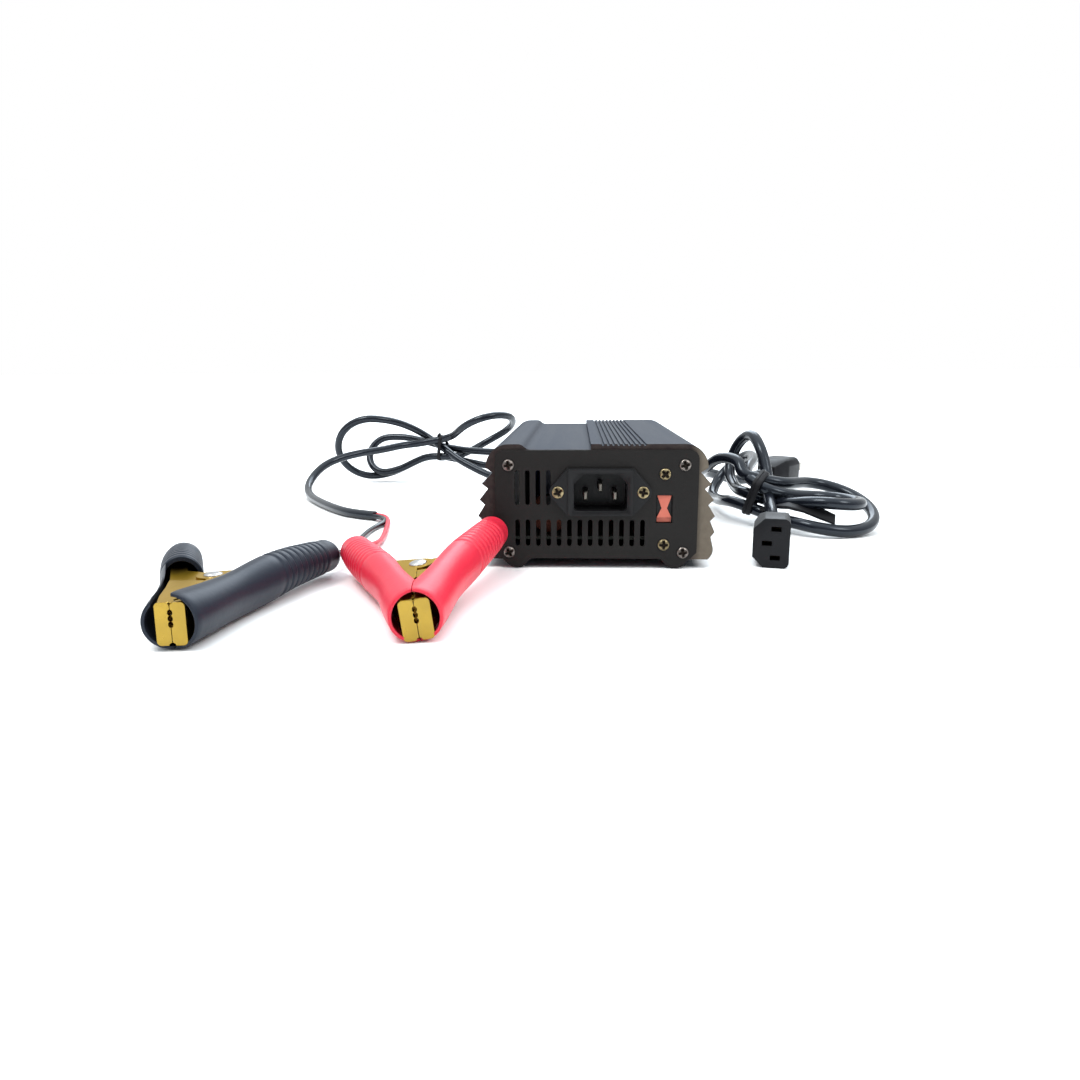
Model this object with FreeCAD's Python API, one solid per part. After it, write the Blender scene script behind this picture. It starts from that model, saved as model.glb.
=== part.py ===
import FreeCAD, Part
import math
import os

V = FreeCAD.Vector
ORIGIN = V(0, 0, 0)
RIGHT = V(1, 0, 0)
BACK = V(0, 1, 0)
UP = V(0, 0, 1)

# All sizes are millimetres. X points right, Y to the back and Z up.
# The origin is under the middle of the charger, on the surface it stands on.

# Case, one extrusion along Y
case_length = 190.0
case_top = 59.5
case_corner_radius = 11.0
case_corner_x = 41.4
case_floor = 4.9
belly_x = 56.4
belly_z = 20.0
belly_radius = 96.0
tooth_count = 6
last_tip_z = 10.0
gullet_drop = 2.4
gullet_depth_top = 3.3
gullet_depth_bottom = 1.8
skirt_x = 53.5
skirt_z = 4.3
foot_x = 38.0
foot_radius = 6.0
foot_fillet = 4.0
crest_end_x = -37.0
recess_start_x = -31.0
recess_end_x = -2.6
recess_depth = 2.5
groove_count = 9
groove_pitch = 2.45
groove_start_x = 2.5
groove_width = 1.2
groove_depth = 0.9
cavity_half_width = 46.0
cavity_floor = 7.3
cavity_ceiling = 54.2
cavity_fillet = 3.0
boss_radius = 4.7
ledge_reach = 3.5
ledge_thickness = 1.4

# Screws, with a flat head and a cross
screw_radius = 1.5
screw_head_radius = 2.8
screw_head_height = 1.6
screw_cross_width = 0.7
screw_cross_length = 3.4
screw_cross_depth = 0.9
screw_clearance = 0.05
screw_sides = 12
shank_sides = 8
round_sides = 24
corner_screw_x = 41.4
corner_screw_top_z = 49.8
corner_screw_bottom_z = 8.0
corner_screw_length = 12.0

# End plates
plate_thickness = 1.5
plate_half_width = 47.9
plate_top = 56.9
plate_corner_radius = 4.5
plate_foot_inset = 0.4
slot_pitch = 4.95
slot_width = 2.2
slot_end_sides = 4
upper_slot_count = 4
upper_slot_x = -37.4
upper_slot_low = 30.8
upper_slot_high = 47.5
lower_slot_count = 13
lower_slot_x = -37.3
lower_slot_low = 10.9
lower_slot_high = 23.9

# Mains inlet
inlet_x = 2.0
inlet_z = 37.2
inlet_screw_spacing = 40.0
inlet_ear_radius = 4.0
inlet_flange_half_width = 15.6
inlet_flange_half_height = 11.3
inlet_flange_thickness = 2.2
inlet_recess_half_width = 12.5
inlet_recess_half_height = 8.7
inlet_recess_depth = 16.0
inlet_recess_chamfer = 4.5
inlet_recess_corner = 2.0
inlet_wall = 1.3
inlet_back_wall = 4.0
inlet_fit = 0.1
inlet_screw_length = 7.0
inlet_screw_proud = 0.2
inlet_head_depth = 1.4
pin_width = 2.0
pin_height = 4.0
pin_spacing = 14.0
pin_offset = 2.0
pin_setback = 2.5
pin_fit = 0.05
tab_length = 9.0
tab_width = 4.8
tab_thickness = 0.8

# Voltage selector
selector_x = 32.2
selector_screw_top_z = 45.6
selector_screw_bottom_z = 11.8
selector_ear_width = 8.0
selector_ear_reach = 3.7
selector_lip = 1.6
selector_wall = 1.5
selector_body_depth = 10.0
selector_screw_length = 6.0
window_half_width = 3.9
window_low = 22.3
window_high = 35.7
knob_half_width = 3.4
knob_low = 25.0
knob_high = 35.5
knob_neck_z = 29.3
knob_neck_half_width = 1.3
knob_setback = 0.6
knob_strip = 2.4
knob_travel = 2.6
knob_fit = 0.1
knob_carrier_side = 0.9
knob_carrier_end = 1.2
knob_carrier_depth = 3.0

# Circuit board and what stands on it
board_front_gap = 5.0
board_fan_gap = 1.0
board_thickness = 1.6
board_z = 12.9
board_fit = 0.1
board_side_fit = 0.3
core_width = 35.0
core_height = 28.0
core_depth = 12.0
core_leg = 10.0
core_yoke = 5.5
core_y = 0.0
winding_depth = 25.0
winding_fit = 0.1
bulk_radius = 8.5
bulk_height = 30.0
bulk_x = -24.0
bulk_front_y = -52.0
bulk_pitch = 19.0
output_capacitor_radius = 5.0
output_capacitor_height = 22.0
output_capacitor_count = 3
output_capacitor_pitch = 14.0
output_capacitor_y = 55.0
output_capacitor_x = -6.0
choke_x = -22.5
choke_inset = 14.0
choke_core_outer = 8.5
choke_core_inner = 4.6
choke_core_length = 7.0
choke_copper = 1.2
choke_fit = 0.05
choke_opening = 7.0
fuse_radius = 2.6
fuse_length = 20.0
fuse_x = 22.0
fuse_y = -40.0
fuse_lift = 3.0
fuse_cap = 5.0
bar_depth = 8.0
bar_low = 18.0
bar_high = 40.0
bar_front = -34.0
bar_back = 44.0
transistor_count = 3
transistor_pitch = 26.0
transistor_width = 16.0
transistor_height = 20.0
transistor_thickness = 4.8
transistor_leg = 0.8
transistor_leg_pitch = 5.4
inner_wire_diameter = 2.6
inlet_wire_landing_y = -48.5
terminal_inset = 5.0
terminal_depth = 10.0
terminal_half_width = 7.0
terminal_top = 29.0
terminal_hole_depth = 6.0
terminal_hole_fit = 0.1
terminal_screw_radius = 1.7
terminal_screw_drop = 2.0
output_wire_spacing = 6.0

# Fan at the back
fan_x = 0.0
fan_z = 31.0
fan_size = 40.0
fan_depth = 10.0
fan_screw_spacing = 32.0
fan_bore_radius = 19.0
fan_corner = 3.0
fan_arm_thickness = 2.4
fan_arm_width = 3.0
fan_arm_count = 4
fan_hub_radius = 8.5
fan_hub_gap = 0.5
fan_front_gap = 0.8
fan_shaft_radius = 1.0
fan_shaft_fit = 0.05
fan_blade_count = 7
fan_blade_radius = 18.3
fan_blade_thickness = 1.0
fan_blade_angle = 38.0
fan_screw_length = 9.0
grille_ring_width = 3.0
grille_ring_gap = 2.0
grille_ring_count = 3
grille_inner_radius = 5.0
grille_spoke = 3.0
grille_spoke_count = 4

# Charge lamps and cable gland at the back
lamp_x = 29.5
lamp_top_z = 41.0
lamp_bottom_z = 31.0
lamp_radius = 2.5
lamp_flange_radius = 2.9
lamp_flange = 1.0
lamp_proud = 1.2
lamp_body = 6.0
lamp_fit = 0.05
lamp_leg = 0.8
lamp_leg_spacing = 2.54
lamp_leg_length = 11.4
lamp_board_half_width = 3.8
lamp_board_margin = 4.0
gland_x = -33.0
gland_z = 24.0
gland_hole_radius = 5.2
gland_fit = 0.05
gland_flange_radius = 7.0
gland_flange = 2.5
gland_inside = 5.5
gland_tail = 24.0
gland_tail_start = 5.4
gland_tail_end = 3.8
gland_nut_width = 14.0
gland_nut = 3.0

# Clamps, both alike: the arms meet at the front and spread towards the handles
clamp_length = 100.5
clamp_half_spread = 18.13
clamp_pivot = 42.0
sleeve_front_radius = 9.9
sleeve_neck_radius = 8.95
sleeve_neck = 30.0
sleeve_grip_start = 60.0
sleeve_end_radius = 7.7
sleeve_wall = 1.2
sleeve_ridge_count = 9
sleeve_ridge_pitch = 4.0
sleeve_ridge_depth = 0.6
sleeve_grip_fall = 0.95
sleeve_split = 0.15
sleeve_window_start = 8.0
sleeve_window_end = 55.0
sleeve_window_offset = 3.0
sleeve_hole_fit = 0.15
sleeve_sides = 16
sleeve_dome_rings = 3
arm_sheet = 1.2
arm_height = 12.9
arm_level_gap = 0.05
arm_split = 0.1
arm_front = 0.5
arm_front_web = 4.9
arm_web = 3.9
arm_web_start = 25.0
arm_inner = 3.0
arm_inner_start = 54.0
arm_bend = 12.0
arm_bend_web = 4.4
arm_end = 88.0
arm_ear_radius = 6.3
moving_arm_joggle = 32.0
fixed_arm_joggle = 50.0
arm_tooth_count = 6
arm_tooth_pitch = 3.5
arm_tooth_depth = 0.9
arm_tooth_start = 3.0
rivet_radius = 2.0
rivet_fit = 0.05
rivet_head_radius = 3.6
rivet_head = 1.15
spring_wire = 1.4
spring_radius = 4.2
spring_coils = 2
spring_pitch = 2.2
spring_leg_end = 70.0
spring_fit = 0.06
spring_sides = 4

# Where the two clamps lie: middle of the rim, yaw, pitch and roll in degrees
red_clamp_rim = V(-65.0, -204.1, 9.95)
red_clamp_turn = (8.77, 2.96, -6.97)
black_clamp_rim = V(-146.4, -214.5, 10.35)
black_clamp_turn = (6.39, -1.32, 0.0)

# Charging lead: a flat twin lead that ends in two single wires
lead_diameter = 6.0
cord_sides = 6
inner_wire_sides = 4
relief_sides = 12
single_wire_diameter = 3.2
wire_in_handle = 24.0

# Mains lead
mains_diameter = 7.0
connector_face = V(83.5, -94.0, 12.0)
connector_heading = 13.9
connector_height = 24.0
connector_width = 17.0
connector_length = 36.0
connector_chamfer = 5.2
connector_corner = 3.0
connector_taper = 0.62
connector_straight = 20.0
connector_slot_height = 2.4
connector_slot_width = 4.6
connector_slot_depth = 14.0
connector_contact = 6.0
connector_contact_fit = 0.1
connector_contact_leaf = 0.3
relief_length = 26.0
relief_start = 6.0
relief_end = 4.6
relief_groove_count = 4
relief_groove = 1.6
relief_groove_depth = 0.8
plug_face = V(158.0, 178.0, 12.6)
plug_heading = -140.0
plug_height = 25.2
plug_width = 27.0
plug_length = 30.0
plug_taper = 0.52
plug_grip = 18.0
plug_blade_fit = 0.05
plug_corner = 6.0
plug_blade_length = 17.0
plug_blade_width = 6.3
plug_blade_thickness = 1.5
plug_blade_spacing = 12.7
plug_blade_root = 6.0
plug_earth_radius = 2.4
plug_earth_drop = 7.0
plug_blade_lift = 3.4

# The bow of the charging lead: tie, the places of its strands there, and its loops
# as direction along the tie, reach to the far end and half the opening
lead_tie = V(-124.6, 209.6, 27.6)
lead_tie_heading = V(0.939, -0.29, -0.186)
lead_arrive = V(-0.744, 0.472, 0.474)
lead_leave = V(-0.99, 0.07, -0.125)
lead_slots = [
    V(0.4, -0.5, 3.5),
    V(0.0, 4.8, -9.8),
    V(3.1, 6.4, 3.2),
    V(-2.6, -3.7, -8.8),
    V(0.0, -5.2, 9.0),
]
lead_loops = [
    (-1, V(-85.6, -19.1, 3.9), V(12.5, -11.4, 25.5)),
    (1, V(102.2, 3.7, -17.3), V(-4.3, 20.7, -10.0)),
    (-1, V(-65.3, 5.0, -6.1), V(-16.1, 9.7, 13.1)),
    (1, V(60.0, -13.3, 28.6), V(3.2, 24.2, -9.8)),
]
lead_first_run = 15.0
lead_start_points = [V(-37, 156, 18), V(-52, 172, 8), V(-75, 182, 5.5)]
lead_end_points = [
    V(-157, 197.5, 33),
    V(-170, 183, 31.4),
    V(-186, 170, 29),
    V(-203, 160, 24.8),
    V(-213, 148, 18.6),
    V(-217, 130, 8.5),
    V(-208, 106, 3.2),
    V(-186, 71, 3.1),
    V(-164, 42, 3.1),
    V(-149, 31, 3.1),
]
lead_split = V(-138, 26, 3.1)
tie_width = 5.0
tie_thickness = 0.8
tie_clearance = 0.5
tie_corner = 0.5
wire_gap = 0.15
wire_straight = 8.0
black_first_run = 9.0
red_first_run = 10.0
black_wire_points = [
    V(-127, 10, 2.4),
    V(-131, -8, 1.8),
    V(-130.5, -33, 1.8),
    V(-127.5, -56, 2.4),
    V(-123.5, -75, 5.0),
]
red_wire_points = [
    V(-122, 10.8, 2.6),
    V(-121.6, -9.6, 1.8),
    V(-119, -31, 2.0),
    V(-117, -51, 5.0),
    V(-118, -68, 10.0),
    V(-121.5, -84, 12.4),
]

# The bow of the mains lead, in the same terms
mains_tie = V(103.9, 12.3, 20.6)
mains_tie_heading = V(-0.845, 0.422, 0.328)
mains_arrive = V(0.286, 0.852, 0.439)
mains_leave = V(-0.814, 0.196, 0.547)
mains_slots = [
    V(7.1, 7.2, 6.4),
    V(-0.2, 1.8, -4.9),
    V(-1.2, -7.4, 9.2),
    V(-2.8, -5.5, -14.7),
    V(3.2, 0.4, 14.7),
]
mains_loops = [
    (1, V(-7.3, 52.9, 25.4), V(9.3, -29.6, 4.2)),
    (-1, V(51.2, -20.5, -5.7), V(-14.2, -14.3, -0.9)),
    (1, V(-9.0, 82.2, 5.4), V(11.2, 10.5, 15.7)),
    (-1, V(61.6, -14.8, -12.4), V(-12.1, -27.1, -7.9)),
]
mains_tie_offset = 5.4
mains_tie_skip_count = 3
mains_tie_reach = 20.0
lead_tie_reach = 18.0
mains_end_run = 15.0
mains_leave_run = 9.0
mains_rear_points = [
    V(85.4, 21.7, 49.6),
    V(72.2, 39.0, 49.1),
    V(66.3, 65.9, 28.4),
    V(67.4, 94.1, 22.3),
    V(80.4, 112.0, 23.0),
    V(102.1, 118.8, 15.3),
]


SLANT = math.sqrt(0.5)


def unit(vector):
    return vector * (1.0 / vector.Length)


def block(x0, x1, y0, y1, z0, z1):
    return Part.makeBox(x1 - x0, y1 - y0, z1 - z0, V(x0, y0, z0))


def rod(start, direction, radius, length):
    return Part.makeCylinder(radius, length, start, direction)


def joined(shapes):
    result = shapes[0]
    for shape in shapes[1:]:
        result = result.fuse(shape)
    return result.removeSplitter()


def trace(start, steps):
    # Edges in the XZ plane: a step is an end point, or a point on an arc and its end
    edges = []
    here = V(start[0], 0, start[1])
    for step in steps:
        points = [V(x, 0, z) for x, z in step]
        if len(points) == 2:
            edges.append(Part.Arc(here, points[0], points[1]).toShape())
        else:
            edges.append(Part.LineSegment(here, points[0]).toShape())
        here = points[-1]
    return edges


def rounded(corners):
    # Closed wire in the XZ plane; a corner is x, z and its radius
    points = [V(x, 0, z) for x, z, radius in corners]
    ends = []
    for i, (x, z, radius) in enumerate(corners):
        here = points[i]
        before = unit(points[i - 1] - here)
        after = unit(points[(i + 1) % len(points)] - here)
        if radius == 0:
            ends.append((here, None, here))
            continue
        half = before.getAngle(after) / 2
        reach = radius / math.tan(half)
        middle = here + unit(before + after) * (radius / math.sin(half) - radius)
        ends.append((here + before * reach, middle, here + after * reach))
    edges = []
    for i, (start, middle, end) in enumerate(ends):
        if middle:
            edges.append(Part.Arc(start, middle, end).toShape())
        following = ends[(i + 1) % len(ends)][0]
        edges.append(Part.LineSegment(end, following).toShape())
    return Part.Wire(edges)


def rectangle(x0, x1, z0, z1, radius=0):
    return rounded([(x0, z0, radius), (x1, z0, radius), (x1, z1, radius), (x0, z1, radius)])


def slot(x, low, high, width):
    # Upright slot with round ends in a few flats
    half = width / 2
    points = []
    for centre, first in ((high - half, 0), (low + half, math.pi)):
        for i in range(slot_end_sides + 1):
            angle = first + math.pi * i / slot_end_sides
            points.append(V(x + half * math.cos(angle), 0, centre + half * math.sin(angle)))
    return Part.makePolygon(points + points[:1])


def flat(wires):
    return Part.makeFace(wires, "Part::FaceMakerBullseye").Faces[0]


def prism(wires, y0, y1):
    face = flat(wires)
    face.translate(V(0, y0, 0))
    return face.extrude(V(0, y1 - y0, 0))


def section(start, direction, radius, sides):
    across = direction.cross(UP)
    if across.Length < 0.1:
        across = direction.cross(RIGHT)
    across = unit(across)
    upward = unit(direction.cross(across))
    points = []
    for i in range(sides + 1):
        angle = 2 * math.pi * (i + 0.5) / sides
        points.append(start + across * (radius * math.cos(angle)) + upward * (radius * math.sin(angle)))
    return Part.makePolygon(points)


def even(x, z, radius, sides):
    # Even polygon in the XZ plane
    return section(V(x, 0, z), BACK, radius, sides)


def tapered(rings, start, direction, sides):
    # Flat-sided solid through even polygons; a ring is a distance along and a radius
    corners = [
        [vertex.Point for vertex in section(start + direction * along, direction, radius, sides).Vertexes]
        for along, radius in rings
    ]
    outlines = [corners[0], corners[-1]]
    for near, far in zip(corners, corners[1:]):
        for i in range(sides):
            k = (i + 1) % sides
            outlines.append([near[i], near[k], far[k], far[i]])
    faces = [Part.Face(Part.makePolygon(points + points[:1])) for points in outlines]
    solid = Part.Solid(Part.Shell(faces))
    return solid if solid.Volume > 0 else solid.reversed()


# Case and its end plates

case_front = -case_length / 2
case_back = case_length / 2
front_face = case_front - plate_thickness
back_face = case_back + plate_thickness
board_top = board_z + board_thickness
board_front = case_front + board_front_gap
board_back = case_back - fan_depth - board_fan_gap
choke_y = board_front + choke_inset
terminal_back = board_back - terminal_inset
terminal_front = terminal_back - terminal_depth
lamp_board_y = case_back - lamp_body - lamp_leg_length - board_thickness
screw_hole = screw_radius + screw_clearance
corner_screws = [
    (side * corner_screw_x, z)
    for side in (-1, 1)
    for z in (corner_screw_top_z, corner_screw_bottom_z)
]


def foot_steps(radius):
    # Round foot rail with 45 degree flanks, then the fillet into the floor
    outer = (foot_x + radius * SLANT, foot_radius - radius * SLANT)
    inner = (foot_x - radius * SLANT, foot_radius - radius * SLANT)
    corner = inner[0] - (case_floor - inner[1])
    turn = math.radians(22.5)
    reach = foot_fillet * math.tan(turn)
    centre = (corner - reach, case_floor - foot_fillet)
    middle = (centre[0] + foot_fillet * math.sin(turn), centre[1] + foot_fillet * math.cos(turn))
    return [
        (outer,),
        ((foot_x, foot_radius - radius), inner),
        ((corner + reach * SLANT, case_floor - reach * SLANT),),
        (middle, (corner - reach, case_floor)),
        ((0, case_floor),),
    ]


def foot_flank_x(radius, z):
    return z + foot_x - foot_radius + radius / SLANT


def finned_side():
    # From the top corner down over the teeth and round the foot to the middle
    radius = case_corner_radius
    centre_z = case_top - radius
    steps = [
        (
            (case_corner_x + radius * SLANT, centre_z + radius * SLANT),
            (case_corner_x + radius, centre_z),
        )
    ]
    pitch = (centre_z - last_tip_z) / (tooth_count - 1)
    tip = case_corner_x + radius
    for i in range(1, tooth_count):
        share = (i - 1) / (tooth_count - 2)
        depth = gullet_depth_top + (gullet_depth_bottom - gullet_depth_top) * share
        z = centre_z - pitch * i
        steps.append(((tip - depth, z + pitch - gullet_drop),))
        tip = belly_x - (z - belly_z) ** 2 / (2 * belly_radius)
        steps.append(((tip, z),))
    bulge = (tip + (skirt_x - tip) * 0.3, skirt_z + (last_tip_z - skirt_z) * 0.35)
    steps.append((bulge, (skirt_x, skirt_z)))
    steps.append(((foot_flank_x(foot_radius, skirt_z), skirt_z),))
    return trace((case_corner_x, case_top), steps + foot_steps(foot_radius))


def case_top_steps():
    middle_x = (crest_end_x + recess_start_x) / 2
    half = (recess_start_x - crest_end_x) / 2
    drop = recess_depth / 2
    bend = (half * half + drop * drop) / (2 * drop)
    angle = math.asin(half / bend) / 2
    bow_x = bend * math.sin(angle)
    bow_z = bend * (1 - math.cos(angle))
    recess_z = case_top - recess_depth
    steps = [
        ((crest_end_x, case_top),),
        ((crest_end_x + bow_x, case_top - bow_z), (middle_x, case_top - drop)),
        ((recess_start_x - bow_x, recess_z + bow_z), (recess_start_x, recess_z)),
        ((recess_end_x, recess_z),),
        ((recess_end_x, case_top),),
    ]
    for i in range(groove_count):
        x = groove_start_x + groove_pitch * i
        steps.append(((x, case_top),))
        steps.append(((x + groove_width / 2, case_top - groove_depth), (x + groove_width, case_top)))
    steps.append(((case_corner_x, case_top),))
    return steps


def cavity_face():
    # Inside of the case, left solid at the screw bosses and the board's ledges
    half = cavity_half_width
    face = flat([rectangle(-half, half, cavity_floor, cavity_ceiling, cavity_fillet)])
    for x, z in corner_screws:
        face = face.cut(flat([even(x, z, boss_radius, screw_sides)]))
    low = board_z - board_fit
    high = board_top + board_fit
    for side in (-1, 1):
        for z0, z1 in ((low - ledge_thickness, low), (high, high + ledge_thickness)):
            xs = sorted((side * (half - ledge_reach), side * (half + ledge_reach)))
            face = face.cut(flat([rectangle(xs[0], xs[1], z0, z1)]))
    return face


def case_extrusion():
    side = finned_side()
    mirrored = [edge.mirror(ORIGIN, RIGHT) for edge in side]
    top = trace((-case_corner_x, case_top), case_top_steps())
    outline = Part.Wire(Part.__sortEdges__(top + side + mirrored))
    face = flat([outline]).cut(cavity_face())
    for x, z in corner_screws:
        face = face.cut(flat([even(x, z, screw_hole, shank_sides)]))
    face = face.Faces[0]
    face.translate(V(0, case_front, 0))
    return face.extrude(V(0, case_length, 0))


def plate_outline():
    radius = foot_radius - plate_foot_inset
    flank_z = plate_half_width - foot_x + foot_radius - radius / SLANT
    bow = plate_corner_radius * (1 - SLANT)
    corner_x = plate_half_width - plate_corner_radius
    steps = [
        ((corner_x, plate_top),),
        (
            (plate_half_width - bow, plate_top - bow),
            (plate_half_width, plate_top - plate_corner_radius),
        ),
        ((plate_half_width, flank_z),),
    ]
    side = trace((0, plate_top), steps + foot_steps(radius))
    mirrored = [edge.mirror(ORIGIN, RIGHT) for edge in side]
    return Part.Wire(Part.__sortEdges__(side + mirrored))


def inlet_recess_wire(grow):
    # Chamfered above, as the connector is
    left = inlet_x - inlet_recess_half_width - grow
    right = inlet_x + inlet_recess_half_width + grow
    low = inlet_z - inlet_recess_half_height - grow
    high = inlet_z + inlet_recess_half_height + grow
    return rounded([
        (left, low, inlet_recess_corner),
        (right, low, inlet_recess_corner),
        (right, high - inlet_recess_chamfer, 0),
        (right - inlet_recess_chamfer, high, 0),
        (left + inlet_recess_chamfer, high, 0),
        (left, high - inlet_recess_chamfer, 0),
    ])


selector_screws = [(selector_x, selector_screw_top_z), (selector_x, selector_screw_bottom_z)]
inlet_screws = [(inlet_x + side * inlet_screw_spacing / 2, inlet_z) for side in (-1, 1)]


def front_plate():
    wires = [plate_outline(), inlet_recess_wire(inlet_wall + inlet_fit)]
    wires += [even(x, z, screw_hole, shank_sides) for x, z in corner_screws + selector_screws]
    wires += [even(x, z, screw_hole, screw_sides) for x, z in inlet_screws]
    wires.append(
        rectangle(
            selector_x - window_half_width, selector_x + window_half_width, window_low, window_high
        )
    )
    for i in range(upper_slot_count):
        wires.append(slot(upper_slot_x + slot_pitch * i, upper_slot_low, upper_slot_high, slot_width))
    for i in range(lower_slot_count):
        wires.append(slot(lower_slot_x + slot_pitch * i, lower_slot_low, lower_slot_high, slot_width))
    return prism(wires, front_face, case_front)


def grille_slots():
    # Rings of slots round the fan's axis, parted by spokes
    slots = []
    half_spoke = grille_spoke / 2
    for ring in range(grille_ring_count):
        inner = grille_inner_radius + (grille_ring_width + grille_ring_gap) * ring
        outer = inner + grille_ring_width
        for quarter in range(grille_spoke_count):
            turn = 2 * math.pi * quarter / grille_spoke_count
            ends = []
            for radius in (inner, outer):
                edge = math.asin(half_spoke / radius)
                span = 2 * math.pi / grille_spoke_count - 2 * edge
                angles = [turn + edge + span * i / slot_end_sides for i in range(slot_end_sides + 1)]
                ends.append([
                    V(fan_x + radius * math.cos(a), 0, fan_z + radius * math.sin(a)) for a in angles
                ])
            near, far = ends
            slots.append(Part.makePolygon(near + far[::-1] + near[:1]))
    return slots


fan_screws = [
    (fan_x + side * fan_screw_spacing / 2, fan_z + level * fan_screw_spacing / 2)
    for side in (-1, 1)
    for level in (-1, 1)
]
lamps = [(lamp_x, lamp_top_z), (lamp_x, lamp_bottom_z)]


def rear_plate():
    wires = [plate_outline()] + grille_slots()
    wires += [even(x, z, screw_hole, shank_sides) for x, z in corner_screws + fan_screws]
    wires += [even(x, z, lamp_radius + lamp_fit, screw_sides) for x, z in lamps]
    wires.append(even(gland_x, gland_z, gland_hole_radius, relief_sides))
    return prism(wires, case_back, back_face)


def cross_cut(y0, y1):
    half = screw_cross_width / 2
    reach = screw_cross_length / 2
    return joined([block(-half, half, y0, y1, -reach, reach), block(-reach, reach, y0, y1, -half, half)])


def flat_screw(length):
    # Head in front of the face at y = 0, shank behind it
    rings = [(0, screw_head_radius), (screw_head_height, screw_head_radius)]
    head = tapered(rings, V(0, -screw_head_height, 0), BACK, screw_sides)
    screw = head.fuse(tapered([(0, screw_radius), (length, screw_radius)], ORIGIN, BACK, shank_sides))
    return screw.cut(cross_cut(-screw_head_height, screw_cross_depth - screw_head_height))


def sunk_screw(length):
    # Countersunk head that stands a little proud of the face at y = 0
    rings = [
        (0, screw_head_radius),
        (inlet_screw_proud, screw_head_radius),
        (inlet_screw_proud + inlet_head_depth, screw_radius),
        (inlet_screw_proud + length, screw_radius),
    ]
    screw = tapered(rings, V(0, -inlet_screw_proud, 0), BACK, screw_sides)
    return screw.cut(cross_cut(-inlet_screw_proud, screw_cross_depth - inlet_screw_proud))


def placed(shape, places, y, backwards=False):
    copies = []
    for x, z in places:
        copy = shape.copy()
        if backwards:
            copy.rotate(ORIGIN, UP, 180)
        copy.translate(V(x, y, z))
        copies.append(copy)
    return Part.makeCompound(copies)


# Mains inlet in the front plate

def tangent_point(outside, centre, radius, turn):
    # Where a line from a point touches a circle, on the side that turn gives
    away = (outside[0] - centre[0], outside[1] - centre[1])
    angle = math.atan2(away[1], away[0]) + turn * math.acos(radius / math.hypot(*away))
    return (centre[0] + radius * math.cos(angle), centre[1] + radius * math.sin(angle))


def inlet_flange_wire():
    # Six-sided flange whose side corners are round ears on the screws
    half_width = inlet_flange_half_width
    half_height = inlet_flange_half_height
    steps = []
    for side in (1, -1):
        centre = (inlet_x + side * inlet_screw_spacing / 2, inlet_z)
        top = (inlet_x + side * half_width, inlet_z + half_height)
        bottom = (inlet_x + side * half_width, inlet_z - half_height)
        upper = tangent_point(top, centre, inlet_ear_radius, -side)
        lower = tangent_point(bottom, centre, inlet_ear_radius, side)
        tip = (centre[0] + side * inlet_ear_radius, inlet_z)
        if side == 1:
            steps += [(top,), (upper,), (tip, lower), (bottom,)]
        else:
            steps += [(bottom,), (lower,), (tip, upper), (top,)]
    return Part.Wire(trace((inlet_x - half_width, inlet_z + half_height), steps))


flange_face = front_face - inlet_flange_thickness
recess_floor = flange_face + inlet_recess_depth
inlet_back = recess_floor + inlet_back_wall
pins = [
    (inlet_x - pin_spacing / 2, inlet_z - pin_offset),
    (inlet_x + pin_spacing / 2, inlet_z - pin_offset),
    (inlet_x, inlet_z + pin_offset),
]


def inlet_housing():
    flange = prism([inlet_flange_wire()], flange_face, front_face)
    body = prism([inlet_recess_wire(inlet_wall)], front_face - inlet_fit, inlet_back)
    housing = joined([flange, body])
    housing = housing.cut(prism([inlet_recess_wire(0)], flange_face - 1, recess_floor))
    for x, z in pins:
        half = pin_width / 2 + pin_fit
        tall = pin_height / 2 + pin_fit
        hole = block(x - half, x + half, recess_floor - 1, inlet_back + 1, z - tall, z + tall)
        housing = housing.cut(hole)
    for x, z in inlet_screws:
        head = screw_head_radius + screw_clearance
        rings = [(0, head), (inlet_head_depth, screw_hole), (inlet_recess_depth, screw_hole)]
        housing = housing.cut(tapered(rings, V(x, flange_face, z), BACK, screw_sides))
    return housing


def inlet_pins():
    blades = []
    for x, z in pins:
        pin = block(
            x - pin_width / 2,
            x + pin_width / 2,
            flange_face + pin_setback,
            inlet_back,
            z - pin_height / 2,
            z + pin_height / 2,
        )
        tip = [edge for edge in pin.Edges if edge.BoundBox.YMax < flange_face + pin_setback + 0.01]
        pin = pin.makeChamfer(pin_width / 4, tip)
        tab = block(
            x - tab_thickness / 2,
            x + tab_thickness / 2,
            inlet_back,
            inlet_back + tab_length,
            z - tab_width / 2,
            z + tab_width / 2,
        )
        blades.append(joined([pin, tab]))
    return Part.makeCompound(blades)


# Voltage selector

slider_low = knob_low - knob_strip
lip_back = case_front + selector_lip
carrier_front = lip_back + knob_fit
carrier_back = carrier_front + knob_carrier_depth
carrier_half_width = knob_half_width + knob_carrier_side
carrier_low = slider_low - knob_carrier_end
carrier_high = knob_high + knob_carrier_end


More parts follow.
